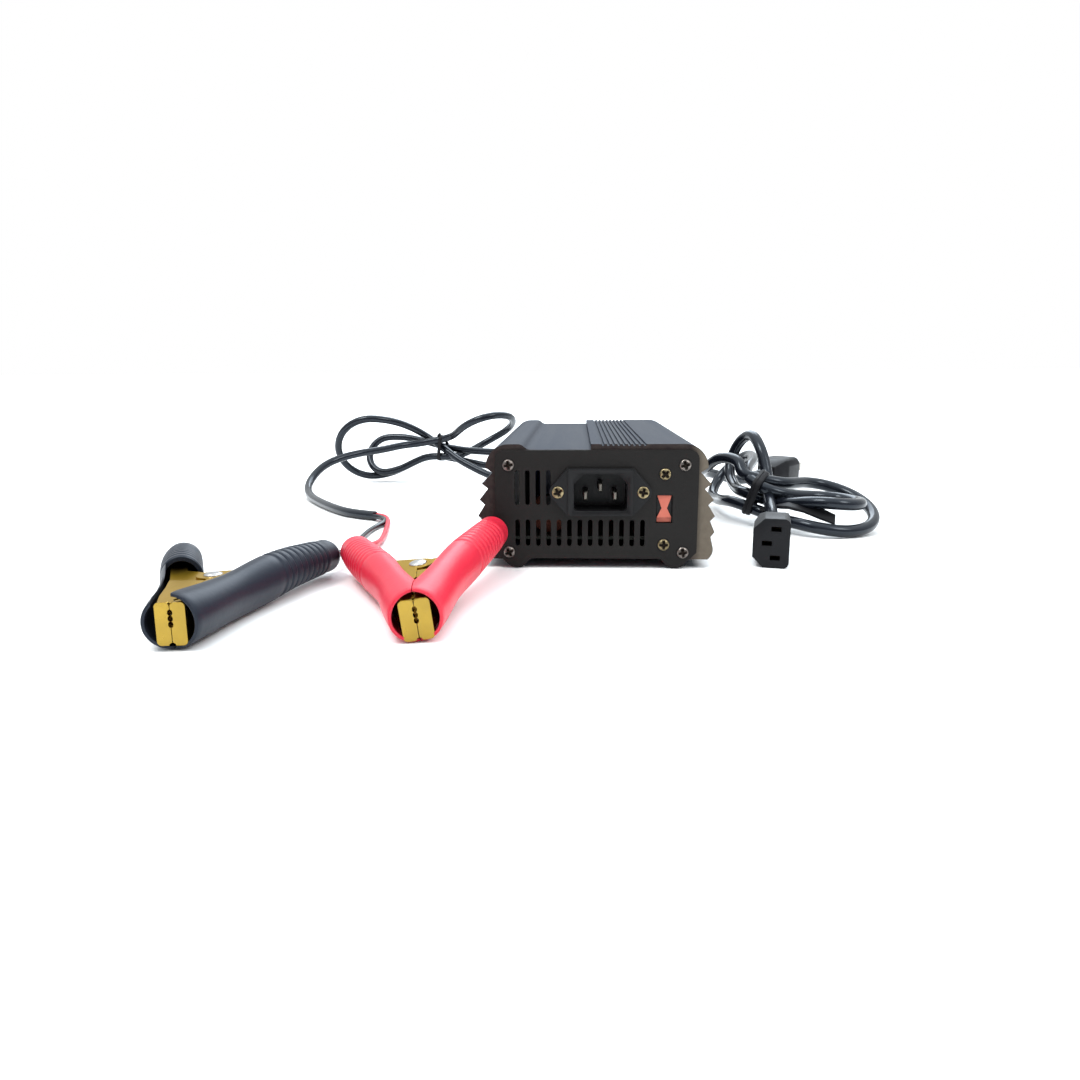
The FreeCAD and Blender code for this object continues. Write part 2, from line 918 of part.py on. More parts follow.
def selector_body():
    channel_half = carrier_half_width + knob_fit
    channel_low = carrier_low - knob_travel - knob_fit
    channel_high = carrier_high + knob_fit
    ears = block(
        selector_x - selector_ear_width / 2,
        selector_x + selector_ear_width / 2,
        case_front,
        lip_back,
        selector_screw_bottom_z - selector_ear_reach,
        selector_screw_top_z + selector_ear_reach,
    )
    body = block(
        selector_x - channel_half - selector_wall,
        selector_x + channel_half + selector_wall,
        case_front,
        lip_back + selector_body_depth,
        channel_low - selector_wall,
        channel_high + selector_wall,
    )
    shape = joined([ears, body])
    opening = block(
        selector_x - knob_half_width - knob_fit,
        selector_x + knob_half_width + knob_fit,
        case_front - 1,
        lip_back + 1,
        slider_low - knob_travel - knob_fit,
        knob_high + knob_fit,
    )
    channel = block(
        selector_x - channel_half,
        selector_x + channel_half,
        lip_back,
        carrier_back + knob_fit,
        channel_low,
        channel_high,
    )
    shape = shape.cut(opening).cut(channel)
    for x, z in selector_screws:
        shape = shape.cut(prism([even(x, z, screw_hole, shank_sides)], case_front - 1, lip_back + 1))
    return shape


def selector_slider():
    # Hourglass knob over a plain strip, on a carrier that the lips hold
    knob_front = front_face + knob_setback
    wide = knob_half_width
    neck = knob_neck_half_width
    steps = [
        ((selector_x + wide, knob_high),),
        ((selector_x + neck, knob_neck_z),),
        ((selector_x + wide, knob_low),),
        ((selector_x - wide, knob_low),),
        ((selector_x - neck, knob_neck_z),),
        ((selector_x - wide, knob_high),),
    ]
    knob = prism([Part.Wire(trace((selector_x - wide, knob_high), steps))], knob_front, lip_back)
    strip = block(
        selector_x - wide,
        selector_x + wide,
        case_front + knob_fit,
        lip_back + knob_fit,
        slider_low,
        knob_high,
    )
    carrier = block(
        selector_x - carrier_half_width,
        selector_x + carrier_half_width,
        carrier_front,
        carrier_back,
        carrier_low,
        carrier_high,
    )
    return joined([knob, strip, carrier])


# Circuit board and what it carries

def circuit_board():
    half = cavity_half_width - board_side_fit
    return block(-half, half, board_front, board_back, board_z, board_top)


def transformer_core():
    half = core_width / 2
    window = (core_width - core_leg - 2 * core_yoke) / 2
    wires = [rectangle(-half, half, board_top, board_top + core_height)]
    for side in (-1, 1):
        xs = sorted((side * core_leg / 2, side * (core_leg / 2 + window)))
        wires.append(
            rectangle(xs[0], xs[1], board_top + core_yoke, board_top + core_height - core_yoke)
        )
    return prism(wires, core_y - core_depth / 2, core_y + core_depth / 2)


def transformer_winding():
    # Wound round the middle leg, bulging out of both windows
    reach = core_width / 2 - core_yoke - winding_fit
    low = board_top + core_yoke + winding_fit
    high = board_top + core_height - core_yoke - winding_fit
    coil = block(-reach, reach, core_y - winding_depth / 2, core_y + winding_depth / 2, low, high)
    upright = [edge for edge in coil.Edges if edge.BoundBox.ZLength > high - low - 0.01]
    coil = coil.makeFillet(min(reach, winding_depth / 2) / 2, upright)
    leg = core_leg / 2 + winding_fit
    depth = core_depth / 2 + winding_fit
    return coil.cut(block(-leg, leg, core_y - depth, core_y + depth, low - 1, high + 1))


def standing_cans(places, radius, height):
    bevel = radius / 8
    rings = [(0, radius), (height - bevel, radius), (height, radius - bevel)]
    return Part.makeCompound([tapered(rings, V(x, y, board_top), UP, screw_sides) for x, y in places])


def choke_centre():
    return V(choke_x, choke_y, board_top + choke_core_outer + choke_fit + choke_copper)


def choke_ring(grow):
    # The choke's core, or a larger ring round it
    centre = choke_centre()
    radii = (choke_core_outer + grow, choke_core_inner - grow)
    wires = [even(centre.x, centre.z, radius, round_sides) for radius in radii]
    half = choke_core_length / 2 + grow
    return prism(wires, choke_y - half, choke_y + half)


def choke_winding():
    # Copper laid close round the core, open at the top
    centre = choke_centre()
    coil = choke_ring(choke_fit + choke_copper).cut(choke_ring(choke_fit))
    half = choke_opening / 2
    top = centre.z + 2 * choke_core_outer
    return coil.cut(block(choke_x - half, choke_x + half, choke_y - top, choke_y + top, centre.z, top))


def fuse():
    # Glass tube between two spring caps that stand on the board
    z = board_top + fuse_lift + fuse_radius
    front = fuse_y - fuse_length / 2
    parts = [rod(V(fuse_x, front, z), BACK, fuse_radius, fuse_length)]
    for y in (front, front + fuse_length - fuse_cap):
        parts.append(
            block(fuse_x - fuse_radius, fuse_x + fuse_radius, y, y + fuse_cap, board_top, z)
        )
    return joined(parts)


def heat_spreader_bars():
    bars = []
    for side in (-1, 1):
        xs = sorted((side * cavity_half_width, side * (cavity_half_width - bar_depth)))
        bars.append(block(xs[0], xs[1], bar_front, bar_back, bar_low, bar_high))
    return Part.makeCompound(bars)


def power_transistors():
    bodies = []
    outer = cavity_half_width - bar_depth
    inner = outer - transistor_thickness
    middle = (bar_front + bar_back) / 2
    for side in (-1, 1):
        for i in range(transistor_count):
            y = middle + (i - (transistor_count - 1) / 2) * transistor_pitch
            xs = sorted((side * outer, side * inner))
            half = transistor_width / 2
            top = bar_low + transistor_height
            body = block(xs[0], xs[1], y - half, y + half, bar_low, top)
            legs = []
            for k in (-1, 0, 1):
                leg_y = y + k * transistor_leg_pitch
                leg_x = side * inner if side > 0 else side * inner - transistor_leg
                legs.append(
                    block(
                        leg_x,
                        leg_x + transistor_leg,
                        leg_y - transistor_leg / 2,
                        leg_y + transistor_leg / 2,
                        board_top,
                        bar_low,
                    )
                )
            bodies.append(joined([body] + legs))
    return Part.makeCompound(bodies)


# Fan, lamps and gland at the back

fan_front = case_back - fan_depth
hub_front = fan_front + fan_arm_thickness
rotor_front = hub_front + fan_hub_gap
rotor_back = case_back - fan_front_gap


def fan_frame():
    half = fan_size / 2
    wires = [
        rectangle(fan_x - half, fan_x + half, fan_z - half, fan_z + half, fan_corner),
        even(fan_x, fan_z, fan_bore_radius, round_sides),
    ]
    wires += [even(x, z, screw_hole, shank_sides) for x, z in fan_screws]
    frame = prism(wires, fan_front, case_back)
    parts = [prism([even(fan_x, fan_z, fan_hub_radius, round_sides)], fan_front, hub_front)]
    for i in range(fan_arm_count):
        arm = block(
            0, fan_bore_radius + 0.5, fan_front, hub_front, -fan_arm_width / 2, fan_arm_width / 2
        )
        arm.rotate(ORIGIN, BACK, 360 * (i + 0.5) / fan_arm_count)
        arm.translate(V(fan_x, 0, fan_z))
        parts.append(arm)
    parts.append(rod(V(fan_x, hub_front, fan_z), BACK, fan_shaft_radius, rotor_back - hub_front))
    return joined([frame] + parts)


def fan_rotor():
    # Hub on the shaft, with flat blades set across the air stream
    depth = rotor_back - rotor_front
    angle = math.radians(fan_blade_angle)
    chord = (depth - fan_blade_thickness) / math.sin(angle)
    centre = V(0, (rotor_front + rotor_back) / 2, 0)
    along = V(0, math.sin(angle), math.cos(angle))
    across = V(0, math.cos(angle), -math.sin(angle))
    corners = [
        centre + along * (chord / 2 * end) + across * (fan_blade_thickness / 2 * side)
        for end, side in ((-1, -1), (1, -1), (1, 1), (-1, 1))
    ]
    blade = Part.Face(Part.makePolygon(corners + corners[:1])).extrude(V(fan_blade_radius, 0, 0))
    parts = [prism([even(0, 0, fan_hub_radius, round_sides)], rotor_front, rotor_back)]
    for i in range(fan_blade_count):
        copy = blade.copy()
        copy.rotate(ORIGIN, BACK, 360 * i / fan_blade_count)
        parts.append(copy)
    rotor = joined(parts)
    rotor = rotor.cut(rod(V(0, rotor_front - 1, 0), BACK, fan_shaft_radius + fan_shaft_fit, depth + 2))
    rotor.translate(V(fan_x, 0, fan_z))
    return rotor


def charge_lamps():
    # Round lamps held from inside by their flanges, with two legs each
    parts = []
    for x, z in lamps:
        end = plate_thickness + lamp_proud
        dome = lamp_radius / 2
        rings = [
            (-lamp_body, lamp_radius),
            (-lamp_flange, lamp_radius),
            (end - dome, lamp_radius),
            (end, lamp_radius - dome),
        ]
        lamp = tapered(rings, V(x, case_back, z), BACK, screw_sides)
        flange_rings = [(-lamp_flange, lamp_flange_radius), (0, lamp_flange_radius)]
        flange = tapered(flange_rings, V(x, case_back, z), BACK, screw_sides)
        legs = []
        for side in (-1, 1):
            leg_x = x + side * lamp_leg_spacing / 2
            half = lamp_leg / 2
            legs.append(
                block(
                    leg_x - half,
                    leg_x + half,
                    lamp_board_y + board_thickness,
                    case_back - lamp_body,
                    z - half,
                    z + half,
                )
            )
        parts.append(joined([lamp, flange] + legs))
    return Part.makeCompound(parts)


def lamp_board():
    return block(
        lamp_x - lamp_board_half_width,
        lamp_x + lamp_board_half_width,
        lamp_board_y,
        lamp_board_y + board_thickness,
        board_top,
        lamp_top_z + lamp_board_margin,
    )


gland_inner = case_back - gland_inside
gland_end = back_face + gland_flange + gland_tail


def cable_gland():
    # Threaded neck through the plate, round flange and a tapered tail on the lead
    neck = gland_hole_radius - gland_fit
    inside = back_face - gland_inner
    rings = [
        (0, neck),
        (inside, neck),
        (inside, gland_flange_radius),
        (inside + gland_flange, gland_flange_radius),
        (inside + gland_flange, gland_tail_start),
        (inside + gland_flange + gland_tail, gland_tail_end),
    ]
    return tapered(rings, V(gland_x, gland_inner, gland_z), BACK, relief_sides)


def gland_nut_ring():
    radius = gland_nut_width / 2 / math.cos(math.pi / 6)
    corners = [
        (gland_x + radius * math.cos(math.pi * i / 3), gland_z + radius * math.sin(math.pi * i / 3), 0)
        for i in range(6)
    ]
    wires = [rounded(corners), even(gland_x, gland_z, gland_hole_radius, relief_sides)]
    return prism(wires, case_back - gland_nut, case_back)


# Tubes for wires and leads

def swept(edges, start, direction, radius, sides):
    profile = section(start, direction, radius, sides)
    return Part.Wire(edges).makePipeShell([profile], True, False)


def route_edges(points):
    # Straight runs joined by arcs as large as the two runs at a corner allow
    edges = []
    radii = []
    here = points[0]
    for before, corner, after in zip(points, points[1:], points[2:]):
        back = unit(before - corner)
        ahead = unit(after - corner)
        half = back.getAngle(ahead) / 2
        reach = 0.45 * min((before - corner).Length, (after - corner).Length)
        radius = reach * math.tan(half)
        middle = corner + unit(back + ahead) * (radius / math.sin(half) - radius)
        edges.append(Part.LineSegment(here, corner + back * reach).toShape())
        edges.append(Part.Arc(corner + back * reach, middle, corner + ahead * reach).toShape())
        here = corner + ahead * reach
        radii.append(radius)
    edges.append(Part.LineSegment(here, points[-1]).toShape())
    return edges, radii


def checked(name, tube, edges, radius, sides, radii):
    # Says how tight the tube bends and whether its volume is its section times its length
    length = sum(edge.Length for edge in edges)
    area = 0.5 * sides * radius * radius * math.sin(2 * math.pi / sides)
    print(name, "length", round(length, 1), "radii", [round(r, 1) for r in radii])
    print(name, "volume over section times length", round(tube.Volume / (area * length), 4))
    return tube


def routed(name, points, diameter, sides=cord_sides):
    edges, radii = route_edges(points)
    direction = unit(points[1] - points[0])
    tube = swept(edges, points[0], direction, diameter / 2, sides)
    return checked(name, tube, edges, diameter / 2, sides, radii)


def arc_middle(start, tangent, end):
    # Middle and radius of the arc that leaves start along the tangent and passes through end
    chord = end - start
    along = unit(chord)
    across = tangent - along * tangent.dot(along)
    angle = math.acos(tangent.dot(along))
    radius = chord.Length / (2 * math.sin(angle))
    return start + chord * 0.5 + unit(across) * (radius * (1 - math.cos(angle))), radius


def biarcs(nodes):
    # Two tangent arcs from each node to the next; a node is a point and a direction
    edges = []
    radii = []
    for (p0, t0), (p1, t1) in zip(nodes, nodes[1:]):
        span = p1 - p0
        both = t0 + t1
        spread = 2 * (1 - t0.dot(t1))
        lean = span.dot(both)
        if spread < 1e-6:
            reach = span.dot(span) / (4 * span.dot(t1))
        else:
            reach = (math.sqrt(lean * lean + spread * span.dot(span)) - lean) / spread
        joint = (p0 + t0 * reach + p1 - t1 * reach) * 0.5
        first, first_radius = arc_middle(p0, t0, joint)
        second, second_radius = arc_middle(p1, t1 * -1, joint)
        edges.append(Part.Arc(p0, first, joint).toShape())
        edges.append(Part.Arc(joint, second, p1).toShape())
        radii += [first_radius, second_radius]
    return edges, radii


def least_gap(edges, diameter):
    # Least distance between two stretches of the tube's surface that aren't neighbours
    points = []
    travelled = []
    done = 0.0
    for edge in edges:
        steps = max(2, int(edge.Length / 2.0))
        for i, point in enumerate(edge.discretize(Number=steps + 1)[:-1]):
            points.append(point)
            travelled.append(done + edge.Length * i / steps)
        done += edge.Length
    least = done
    for i, first in enumerate(points):
        for k in range(i + 1, len(points)):
            if travelled[k] - travelled[i] > 5.5 * diameter:
                least = min(least, (first - points[k]).Length)
    return least - diameter


# Spring clamps, in their own frame: X across, Y from the jaw to the handles, Z along the pivot

half_spread = math.radians(clamp_half_spread)
handle_direction = V(math.sin(half_spread), math.cos(half_spread), 0)
handle_outward = V(math.cos(half_spread), -math.sin(half_spread), 0)
ear_top = arm_height / 2
ear_step = arm_sheet + arm_level_gap
arm_tooth_end = arm_tooth_start + arm_tooth_count * arm_tooth_pitch


def at_handle(along, outward):
    return handle_direction * along + handle_outward * outward


def sheet(points, low, high):
    # Flat outline between two heights
    lifted = [V(p.x, p.y, low) for p in points]
    return Part.Face(Part.makePolygon(lifted + lifted[:1])).extrude(V(0, 0, high - low))


def both_sides(points, low, high):
    return sheet(points, low, high).fuse(sheet(points, -high, -low))


def arm(joggle):
    # Pressed channel: the ears step inward by one sheet at the joggle
    outer = [
        V(arm_front_web, arm_front, 0),
        at_handle(arm_bend, arm_bend_web),
        at_handle(arm_web_start, arm_web),
        at_handle(arm_end, arm_web),
    ]
    teeth = []
    for i in range(arm_tooth_count):
        y = arm_tooth_start + arm_tooth_pitch * i
        teeth.append(V(arm_split, y, 0))
        teeth.append(V(arm_split + arm_tooth_depth, y + arm_tooth_pitch / 2, 0))
    plan = [V(arm_split, arm_front, 0)] + teeth + [
        V(arm_split, arm_tooth_end, 0),
        V(arm_split, clamp_pivot - arm_ear_radius, 0),
        V(0, clamp_pivot + arm_ear_radius, 0),
        at_handle(arm_inner_start, -arm_inner),
        at_handle(arm_end, -arm_inner),
    ] + outer[::-1]
    shapes = []
    for low, y0, y1 in ((ear_top - arm_sheet, 0, joggle), (ear_top - arm_sheet - ear_step, joggle, clamp_length)):
        ears = both_sides(plan, low, low + arm_sheet)
        if y0 < clamp_pivot < y1:
            for z in (low, -low - arm_sheet):
                ears = ears.fuse(rod(V(0, clamp_pivot, z), UP, arm_ear_radius, arm_sheet))
        shapes.append(ears.common(block(-clamp_length, clamp_length, y0, y1, -ear_top, ear_top)))
    step = both_sides(plan, ear_top - arm_sheet - ear_step, ear_top)
    half = arm_sheet / 2
    shapes.append(step.common(block(0, clamp_length, joggle - half, joggle + half, -ear_top, ear_top)))
    inner = [
        V(arm_front_web - arm_sheet, arm_front, 0),
        at_handle(arm_bend, arm_bend_web - arm_sheet),
        at_handle(arm_web_start, arm_web - arm_sheet),
        at_handle(arm_end, arm_web - arm_sheet),
    ]
    web = sheet(outer + inner[::-1], -ear_top, ear_top)
    shapes.append(web.common(block(0, clamp_length, 0, joggle + half, -ear_top, ear_top)))
    lower = ear_top - ear_step
    shapes.append(web.common(block(0, clamp_length, joggle, clamp_length, -lower, lower)))
    shapes.append(
        block(arm_split, arm_front_web, arm_front, arm_front + arm_sheet, -ear_top, ear_top)
    )
    result = joined(shapes)
    return result.cut(rod(V(0, clamp_pivot, -ear_top - 1), UP, rivet_radius + rivet_fit, arm_height + 2))


def sleeve_dome(radius):
    # Rings of the round end of the sleeve
    angles = [math.radians(90 * i / (sleeve_dome_rings + 1)) for i in range(sleeve_dome_rings + 1)]
    return [(clamp_length + radius * math.sin(a), radius * math.cos(a)) for a in angles]


def sleeve(wired):
    # Dipped vinyl over the jaw's back and the handle, ribbed where it is gripped
    grip_step = sleeve_grip_fall / sleeve_ridge_count
    grip_end = sleeve_grip_start + sleeve_ridge_count * sleeve_ridge_pitch
    rings = [(0, sleeve_front_radius), (sleeve_neck, sleeve_neck_radius)]
    for i in range(sleeve_ridge_count):
        along = sleeve_grip_start + sleeve_ridge_pitch * i
        crest = sleeve_neck_radius - grip_step * i
        rings.append((along, crest - sleeve_ridge_depth))
        rings.append((along + sleeve_ridge_pitch / 2, crest))
    rings.append((grip_end, sleeve_end_radius))
    inner_end = sleeve_end_radius - sleeve_wall
    inner = [
        (0, sleeve_front_radius - sleeve_wall),
        (sleeve_neck, sleeve_neck_radius - sleeve_wall),
        (sleeve_grip_start, sleeve_neck_radius - sleeve_wall),
        (grip_end, inner_end),
    ]
    back = clamp_length + sleeve_end_radius
    outside = tapered(rings + sleeve_dome(sleeve_end_radius), ORIGIN, handle_direction, sleeve_sides)
    body = outside.cut(tapered(inner + sleeve_dome(inner_end), ORIGIN, handle_direction, sleeve_sides))
    body = body.common(block(sleeve_split, back, 0, back + 10, -back, back))
    window = block(-back, -sleeve_window_offset, sleeve_window_start, sleeve_window_end, -back, back)
    window.rotate(ORIGIN, UP, -clamp_half_spread)
    body = body.cut(window)
    if wired:
        hole = single_wire_diameter / 2 + sleeve_hole_fit
        body = body.cut(rod(handle_direction * (back - 4), handle_direction, hole, 8))
    return body


def pivot():
    # Riveted over on both sides of the ears
    height = arm_height + 2 * rivet_head
    parts = [rod(V(0, clamp_pivot, -height / 2), UP, rivet_radius, height)]
    for z in (ear_top, -height / 2):
        parts.append(rod(V(0, clamp_pivot, z), UP, rivet_head_radius, rivet_head))
    return joined(parts)


def spring():
    # Coil round the rivet whose two straight legs press the handles apart
    leg_offset = arm_web - arm_sheet - spring_wire / 2 - spring_fit
    right_end = at_handle(spring_leg_end, leg_offset)
    centre = V(0, clamp_pivot, 0)
    away = right_end - centre
    bearing = math.atan2(away.y, away.x)
    last = bearing - math.acos(spring_radius / away.Length)
    first = math.pi - last
    turn = 2 * math.pi * spring_coils + (last - first) % (2 * math.pi)
    steps = 2 * spring_coils + 1
    climb = spring_pitch / (2 * math.pi)
    slope = math.atan(climb / spring_radius)
    nodes = []
    for i in range(steps + 1):
        angle = first + turn * i / steps
        height = climb * (turn * i / steps - turn / 2)
        place = centre + V(math.cos(angle), math.sin(angle), 0) * spring_radius + UP * height
        rise = slope if 0 < i < steps else 0
        heading = V(-math.sin(angle) * math.cos(rise), math.cos(angle) * math.cos(rise), math.sin(rise))
        nodes.append((place, heading))
    coil, radii = biarcs(nodes)
    low, high = nodes[0][0], nodes[-1][0]
    reach = math.sqrt(away.Length ** 2 - spring_radius ** 2)
    start = low - nodes[0][1] * reach
    edges = [Part.LineSegment(start, low).toShape()] + coil
    edges.append(Part.LineSegment(high, high + nodes[-1][1] * reach).toShape())
    tube = swept(edges, start, nodes[0][1], spring_wire / 2, spring_sides)
    return checked("spring", tube, edges, spring_wire / 2, spring_sides, radii)


def clamp_placement(rim, turn):
    yaw, pitch, roll = turn
    rotation = FreeCAD.Rotation(UP, yaw) * FreeCAD.Rotation(RIGHT, pitch) * FreeCAD.Rotation(BACK, roll)
    return FreeCAD.Placement(rim, rotation)


def clamp(colour, rim, turn, wired_side):
    # The half with the lead stays, the other half turns
    placement = clamp_placement(rim, turn)
    shapes = {
        "fixed_jaw": arm(fixed_arm_joggle),
        "moving_jaw": arm(moving_arm_joggle),
        "fixed_sleeve": sleeve(True),
        "moving_sleeve": sleeve(False),
        "pivot": pivot(),
        "spring": spring(),
    }
    result = {}
    for name, shape in shapes.items():
        left = name.startswith("fixed") == (wired_side == "left")
        if name.startswith(("fixed", "moving")) and left:
            shape = shape.mirror(ORIGIN, RIGHT)
        result[colour + "_clamp_" + name] = moved(shape, placement)
    return result


def moved(shape, placement):
    copy = shape.copy()
    copy.Placement = placement.multiply(copy.Placement)
    return copy


def handle_point(rim, turn, side, along):
    # A place on the axis of the left or right handle
    point = at_handle(along, 0)
    return clamp_placement(rim, turn).multVec(V(side * point.x, point.y, point.z))


# Wires inside the case

def inlet_wires():
    wires = []
    for x, z in pins:
        points = [
            V(x, inlet_back + tab_length, z),
            V(x, inlet_wire_landing_y, z),
            V(x, inlet_wire_landing_y, board_top),
        ]
        edges, radii = route_edges(points)
        wires.append(swept(edges, points[0], BACK, inner_wire_diameter / 2, inner_wire_sides))
    return Part.makeCompound(wires)


output_wire_places = [(gland_x + side * output_wire_spacing / 2, gland_z) for side in (-1, 1)]


def output_terminals():
    # Screw terminals that take the two wires from the gland
    block_shape = block(
        gland_x - terminal_half_width,
        gland_x + terminal_half_width,
        terminal_front,
        terminal_back,
        board_top,
        terminal_top,
    )
    hole = inner_wire_diameter / 2 + terminal_hole_fit
    for x, z in output_wire_places:
        start = V(x, terminal_back - terminal_hole_depth, z)
        block_shape = block_shape.cut(rod(start, BACK, hole, terminal_hole_depth + 1))
        middle = V(x, (terminal_front + terminal_back) / 2, terminal_top - terminal_screw_drop)
        block_shape = block_shape.cut(rod(middle, UP, terminal_screw_radius, terminal_screw_drop + 1))
    return block_shape


def output_wires():
    wires = []
    for x, z in output_wire_places:
        start = V(x, gland_inner, z)
        end = V(x, terminal_back - terminal_hole_depth, z)
        edge = Part.LineSegment(start, end).toShape()
        wires.append(swept([edge], start, BACK * -1, inner_wire_diameter / 2, inner_wire_sides))
    return Part.makeCompound(wires)


# Charging lead: starts in the gland, is tied in a bow and ends in two single wires

def hank_nodes(tie, along, slots, loops, arrive, leave):
    # Each loop leaves the tie, turns round at its far end and comes back to the tie's next place
    nodes = [(tie + slots[0], unit(arrive))]
    heading = unit(along)
    for (sign, reach, side), place, following in zip(loops, slots[1:], loops[1:] + [None]):
        outward = unit(reach)
        spread = side - outward * side.dot(outward)
        shoulder = tie + reach - outward * spread.Length
        nodes.append((shoulder + spread, outward))
        nodes.append((tie + reach, unit(spread) * -1))
        nodes.append((shoulder - spread, outward * -1))
        nodes.append((tie + place, heading * following[0] if following else unit(leave)))
    return nodes


def hank(name, nodes, diameter):
    edges, radii = biarcs(nodes)
    start = nodes[0][0] - nodes[0][1] * diameter
    end = nodes[-1][0] + nodes[-1][1] * diameter
    edges = [Part.LineSegment(start, nodes[0][0]).toShape()] + edges
    edges.append(Part.LineSegment(nodes[-1][0], end).toShape())
    print(name, "least gap to itself", round(least_gap(edges, diameter), 2))
    tube = swept(edges, start, nodes[0][1], diameter / 2, cord_sides)
    return checked(name, tube, edges, diameter / 2, cord_sides, radii), edges, start, end


def band(edges, centre, along, width, reach, diameter):
    # Flat band drawn round the strands that pass near its middle
    across = unit(along.cross(UP))
    upward = across.cross(along)
    places = []
    for edge in edges:
        points = edge.discretize(Number=max(3, int(edge.Length)))
        for point, following in zip(points, points[1:]):
            away = point - centre
            slant = unit(following - point).cross(along).Length
            if abs(away.dot(along)) < (width + diameter * slant) / 2 and away.Length < reach:
                places.append((away.dot(across), away.dot(upward)))
    places = sorted(set(places))
    hull = []
    for sweep in (places, places[::-1]):
        chain = []
        for place in sweep:
            while len(chain) > 1 and turn_of(chain[-2], chain[-1], place) <= 0:
                chain.pop()
            chain.append(place)
        hull += chain[:-1]
    spaced = [hull[0]]
    for place in hull[1:]:
        if math.dist(place, spaced[-1]) > tie_corner:
            spaced.append(place)
    low = centre - along * (width / 2)
    points = [low + across * a + upward * b for a, b in spaced]
    outline = Part.makePolygon(points + points[:1])
    inner = outline.makeOffset2D(diameter / 2 + tie_clearance)
    outer = outline.makeOffset2D(diameter / 2 + tie_clearance + tie_thickness)
    ring = Part.Face(outer).cut(Part.Face(inner)).Faces[0]
    return ring.extrude(along * width)


def turn_of(a, b, c):
    return (b[0] - a[0]) * (c[1] - a[1]) - (b[1] - a[1]) * (c[0] - a[0])


lead_along = unit(lead_tie_heading)
lead_places = hank_nodes(lead_tie, lead_along, lead_slots, lead_loops, lead_arrive, lead_leave)
lead_hank, lead_hank_edges, hank_start, hank_end = hank("dc_lead_hank", lead_places, lead_diameter)

gland_exit = V(gland_x, gland_end, gland_z)
lead_start = routed(
    "dc_lead_start",
    [gland_exit, gland_exit + BACK * lead_first_run]
    + lead_start_points
    + [hank_start - unit(lead_arrive) * (3 * lead_diameter), hank_start],
    lead_diameter,
)
lead_end = routed(
    "dc_lead_end",
    [hank_end, hank_end + unit(lead_leave) * (2.5 * lead_diameter)] + lead_end_points + [lead_split],
    lead_diameter,
)

split_heading = unit(lead_split - lead_end_points[-1])
split_across = unit(split_heading.cross(UP)) * (single_wire_diameter / 2 + wire_gap)
sleeve_back = clamp_length + sleeve_end_radius


def single_wire(name, start, first_run, points, rim, turn, side):
    ends = [
        handle_point(rim, turn, side, sleeve_back + wire_straight),
        handle_point(rim, turn, side, sleeve_back - wire_in_handle),
    ]
    route = [start, start + split_heading * first_run] + points + ends
    return routed(name, route, single_wire_diameter)


black_wire = single_wire(
    "black_wire",
    lead_split + split_across,
    black_first_run,
    black_wire_points,
    black_clamp_rim,
    black_clamp_turn,
    1,
)
red_wire = single_wire(
    "red_wire",
    lead_split - split_across,
    red_first_run,
    red_wire_points,
    red_clamp_rim,
    red_clamp_turn,
    -1,
)


# Mains lead: connector, bow and plug. Both ends are built along Y and turned into place

def facing(shape, face, heading):
    copy = shape.copy()
    copy.rotate(ORIGIN, UP, -heading)
    copy.translate(face)
    return copy


def heading_of(degrees):
    return V(math.sin(math.radians(degrees)), math.cos(math.radians(degrees)), 0)


connector_slots = [
    (pin_offset, pin_spacing / 2),
    (-pin_offset, 0),
    (pin_offset, -pin_spacing / 2),
]


def connector_wire(half_width, half_height, chamfer, corner):
    # Chamfered on the left, where the middle slot is
    return rounded([
        (half_width, -half_height, corner),
        (half_width, half_height, corner),
        (-half_width + chamfer, half_height, 0),
        (-half_width, half_height - chamfer, 0),
        (-half_width, -half_height + chamfer, 0),
        (-half_width + chamfer, -half_height, 0),
    ])


def slot_block(x, z, grow, y0, y1):
    half_width = connector_slot_width / 2 - grow
    half_height = connector_slot_height / 2 - grow
    return block(x - half_width, x + half_width, y0, y1, z - half_height, z + half_height)


def connector():
    half_width = connector_width / 2
    half_height = connector_height / 2
    outline = connector_wire(half_width, half_height, connector_chamfer, connector_corner)
    body = prism([outline], 0, connector_length)
    body = narrowed(
        body, half_width, half_height, connector_taper, connector_straight, connector_length
    )
    for x, z in connector_slots:
        body = body.cut(slot_block(x, z, 0, -1, connector_slot_depth))
    return facing(body, connector_face, connector_heading)


def connector_contacts():
    # Forked spring contacts at the bottom of the slots
    forks = []
    for x, z in connector_slots:
        start = connector_slot_depth - connector_contact
        fork = slot_block(x, z, connector_contact_fit, start, connector_slot_depth)
        leaf = connector_contact_leaf + connector_contact_fit
        half = connector_slot_height / 2 - leaf
        gap = block(
            x - connector_slot_width,
            x + connector_slot_width,
            start - 1,
            connector_slot_depth - leaf,
            z - half,
            z + half,
        )
        forks.append(fork.cut(gap))
    return facing(Part.makeCompound(forks), connector_face, connector_heading)


def strain_relief(start):
    # Tapered boot with a few grooves across it
    pitch = relief_length / (relief_groove_count + 1)
    slope = (relief_start - relief_end) / relief_length
    half = relief_groove / 2
    rings = [(0, relief_start)]
    for i in range(1, relief_groove_count + 1):
        along = pitch * i
        radius = relief_start - slope * along
        rings += [(along - half, radius), (along, radius - relief_groove_depth), (along + half, radius)]
    rings.append((relief_length, relief_end))
    return tapered(rings, V(0, start, 0), BACK, relief_sides)


def narrowed(body, half_width, half_height, share, start, end):
    # Cuts the four sides of a body along Y so that it narrows between start and end
    for half, turn in ((half_width, 0), (half_height, 90), (half_width, 180), (half_height, 270)):
        slope = math.degrees(math.atan(half * (1 - share) / (end - start)))
        size = 2 * (half_width + half_height + end)
        waste = block(half, half + size, start, start + size, -size, size)
        waste.rotate(V(half, start, 0), UP, slope)
        waste.rotate(ORIGIN, BACK, turn)
        body = body.cut(waste)
    return body


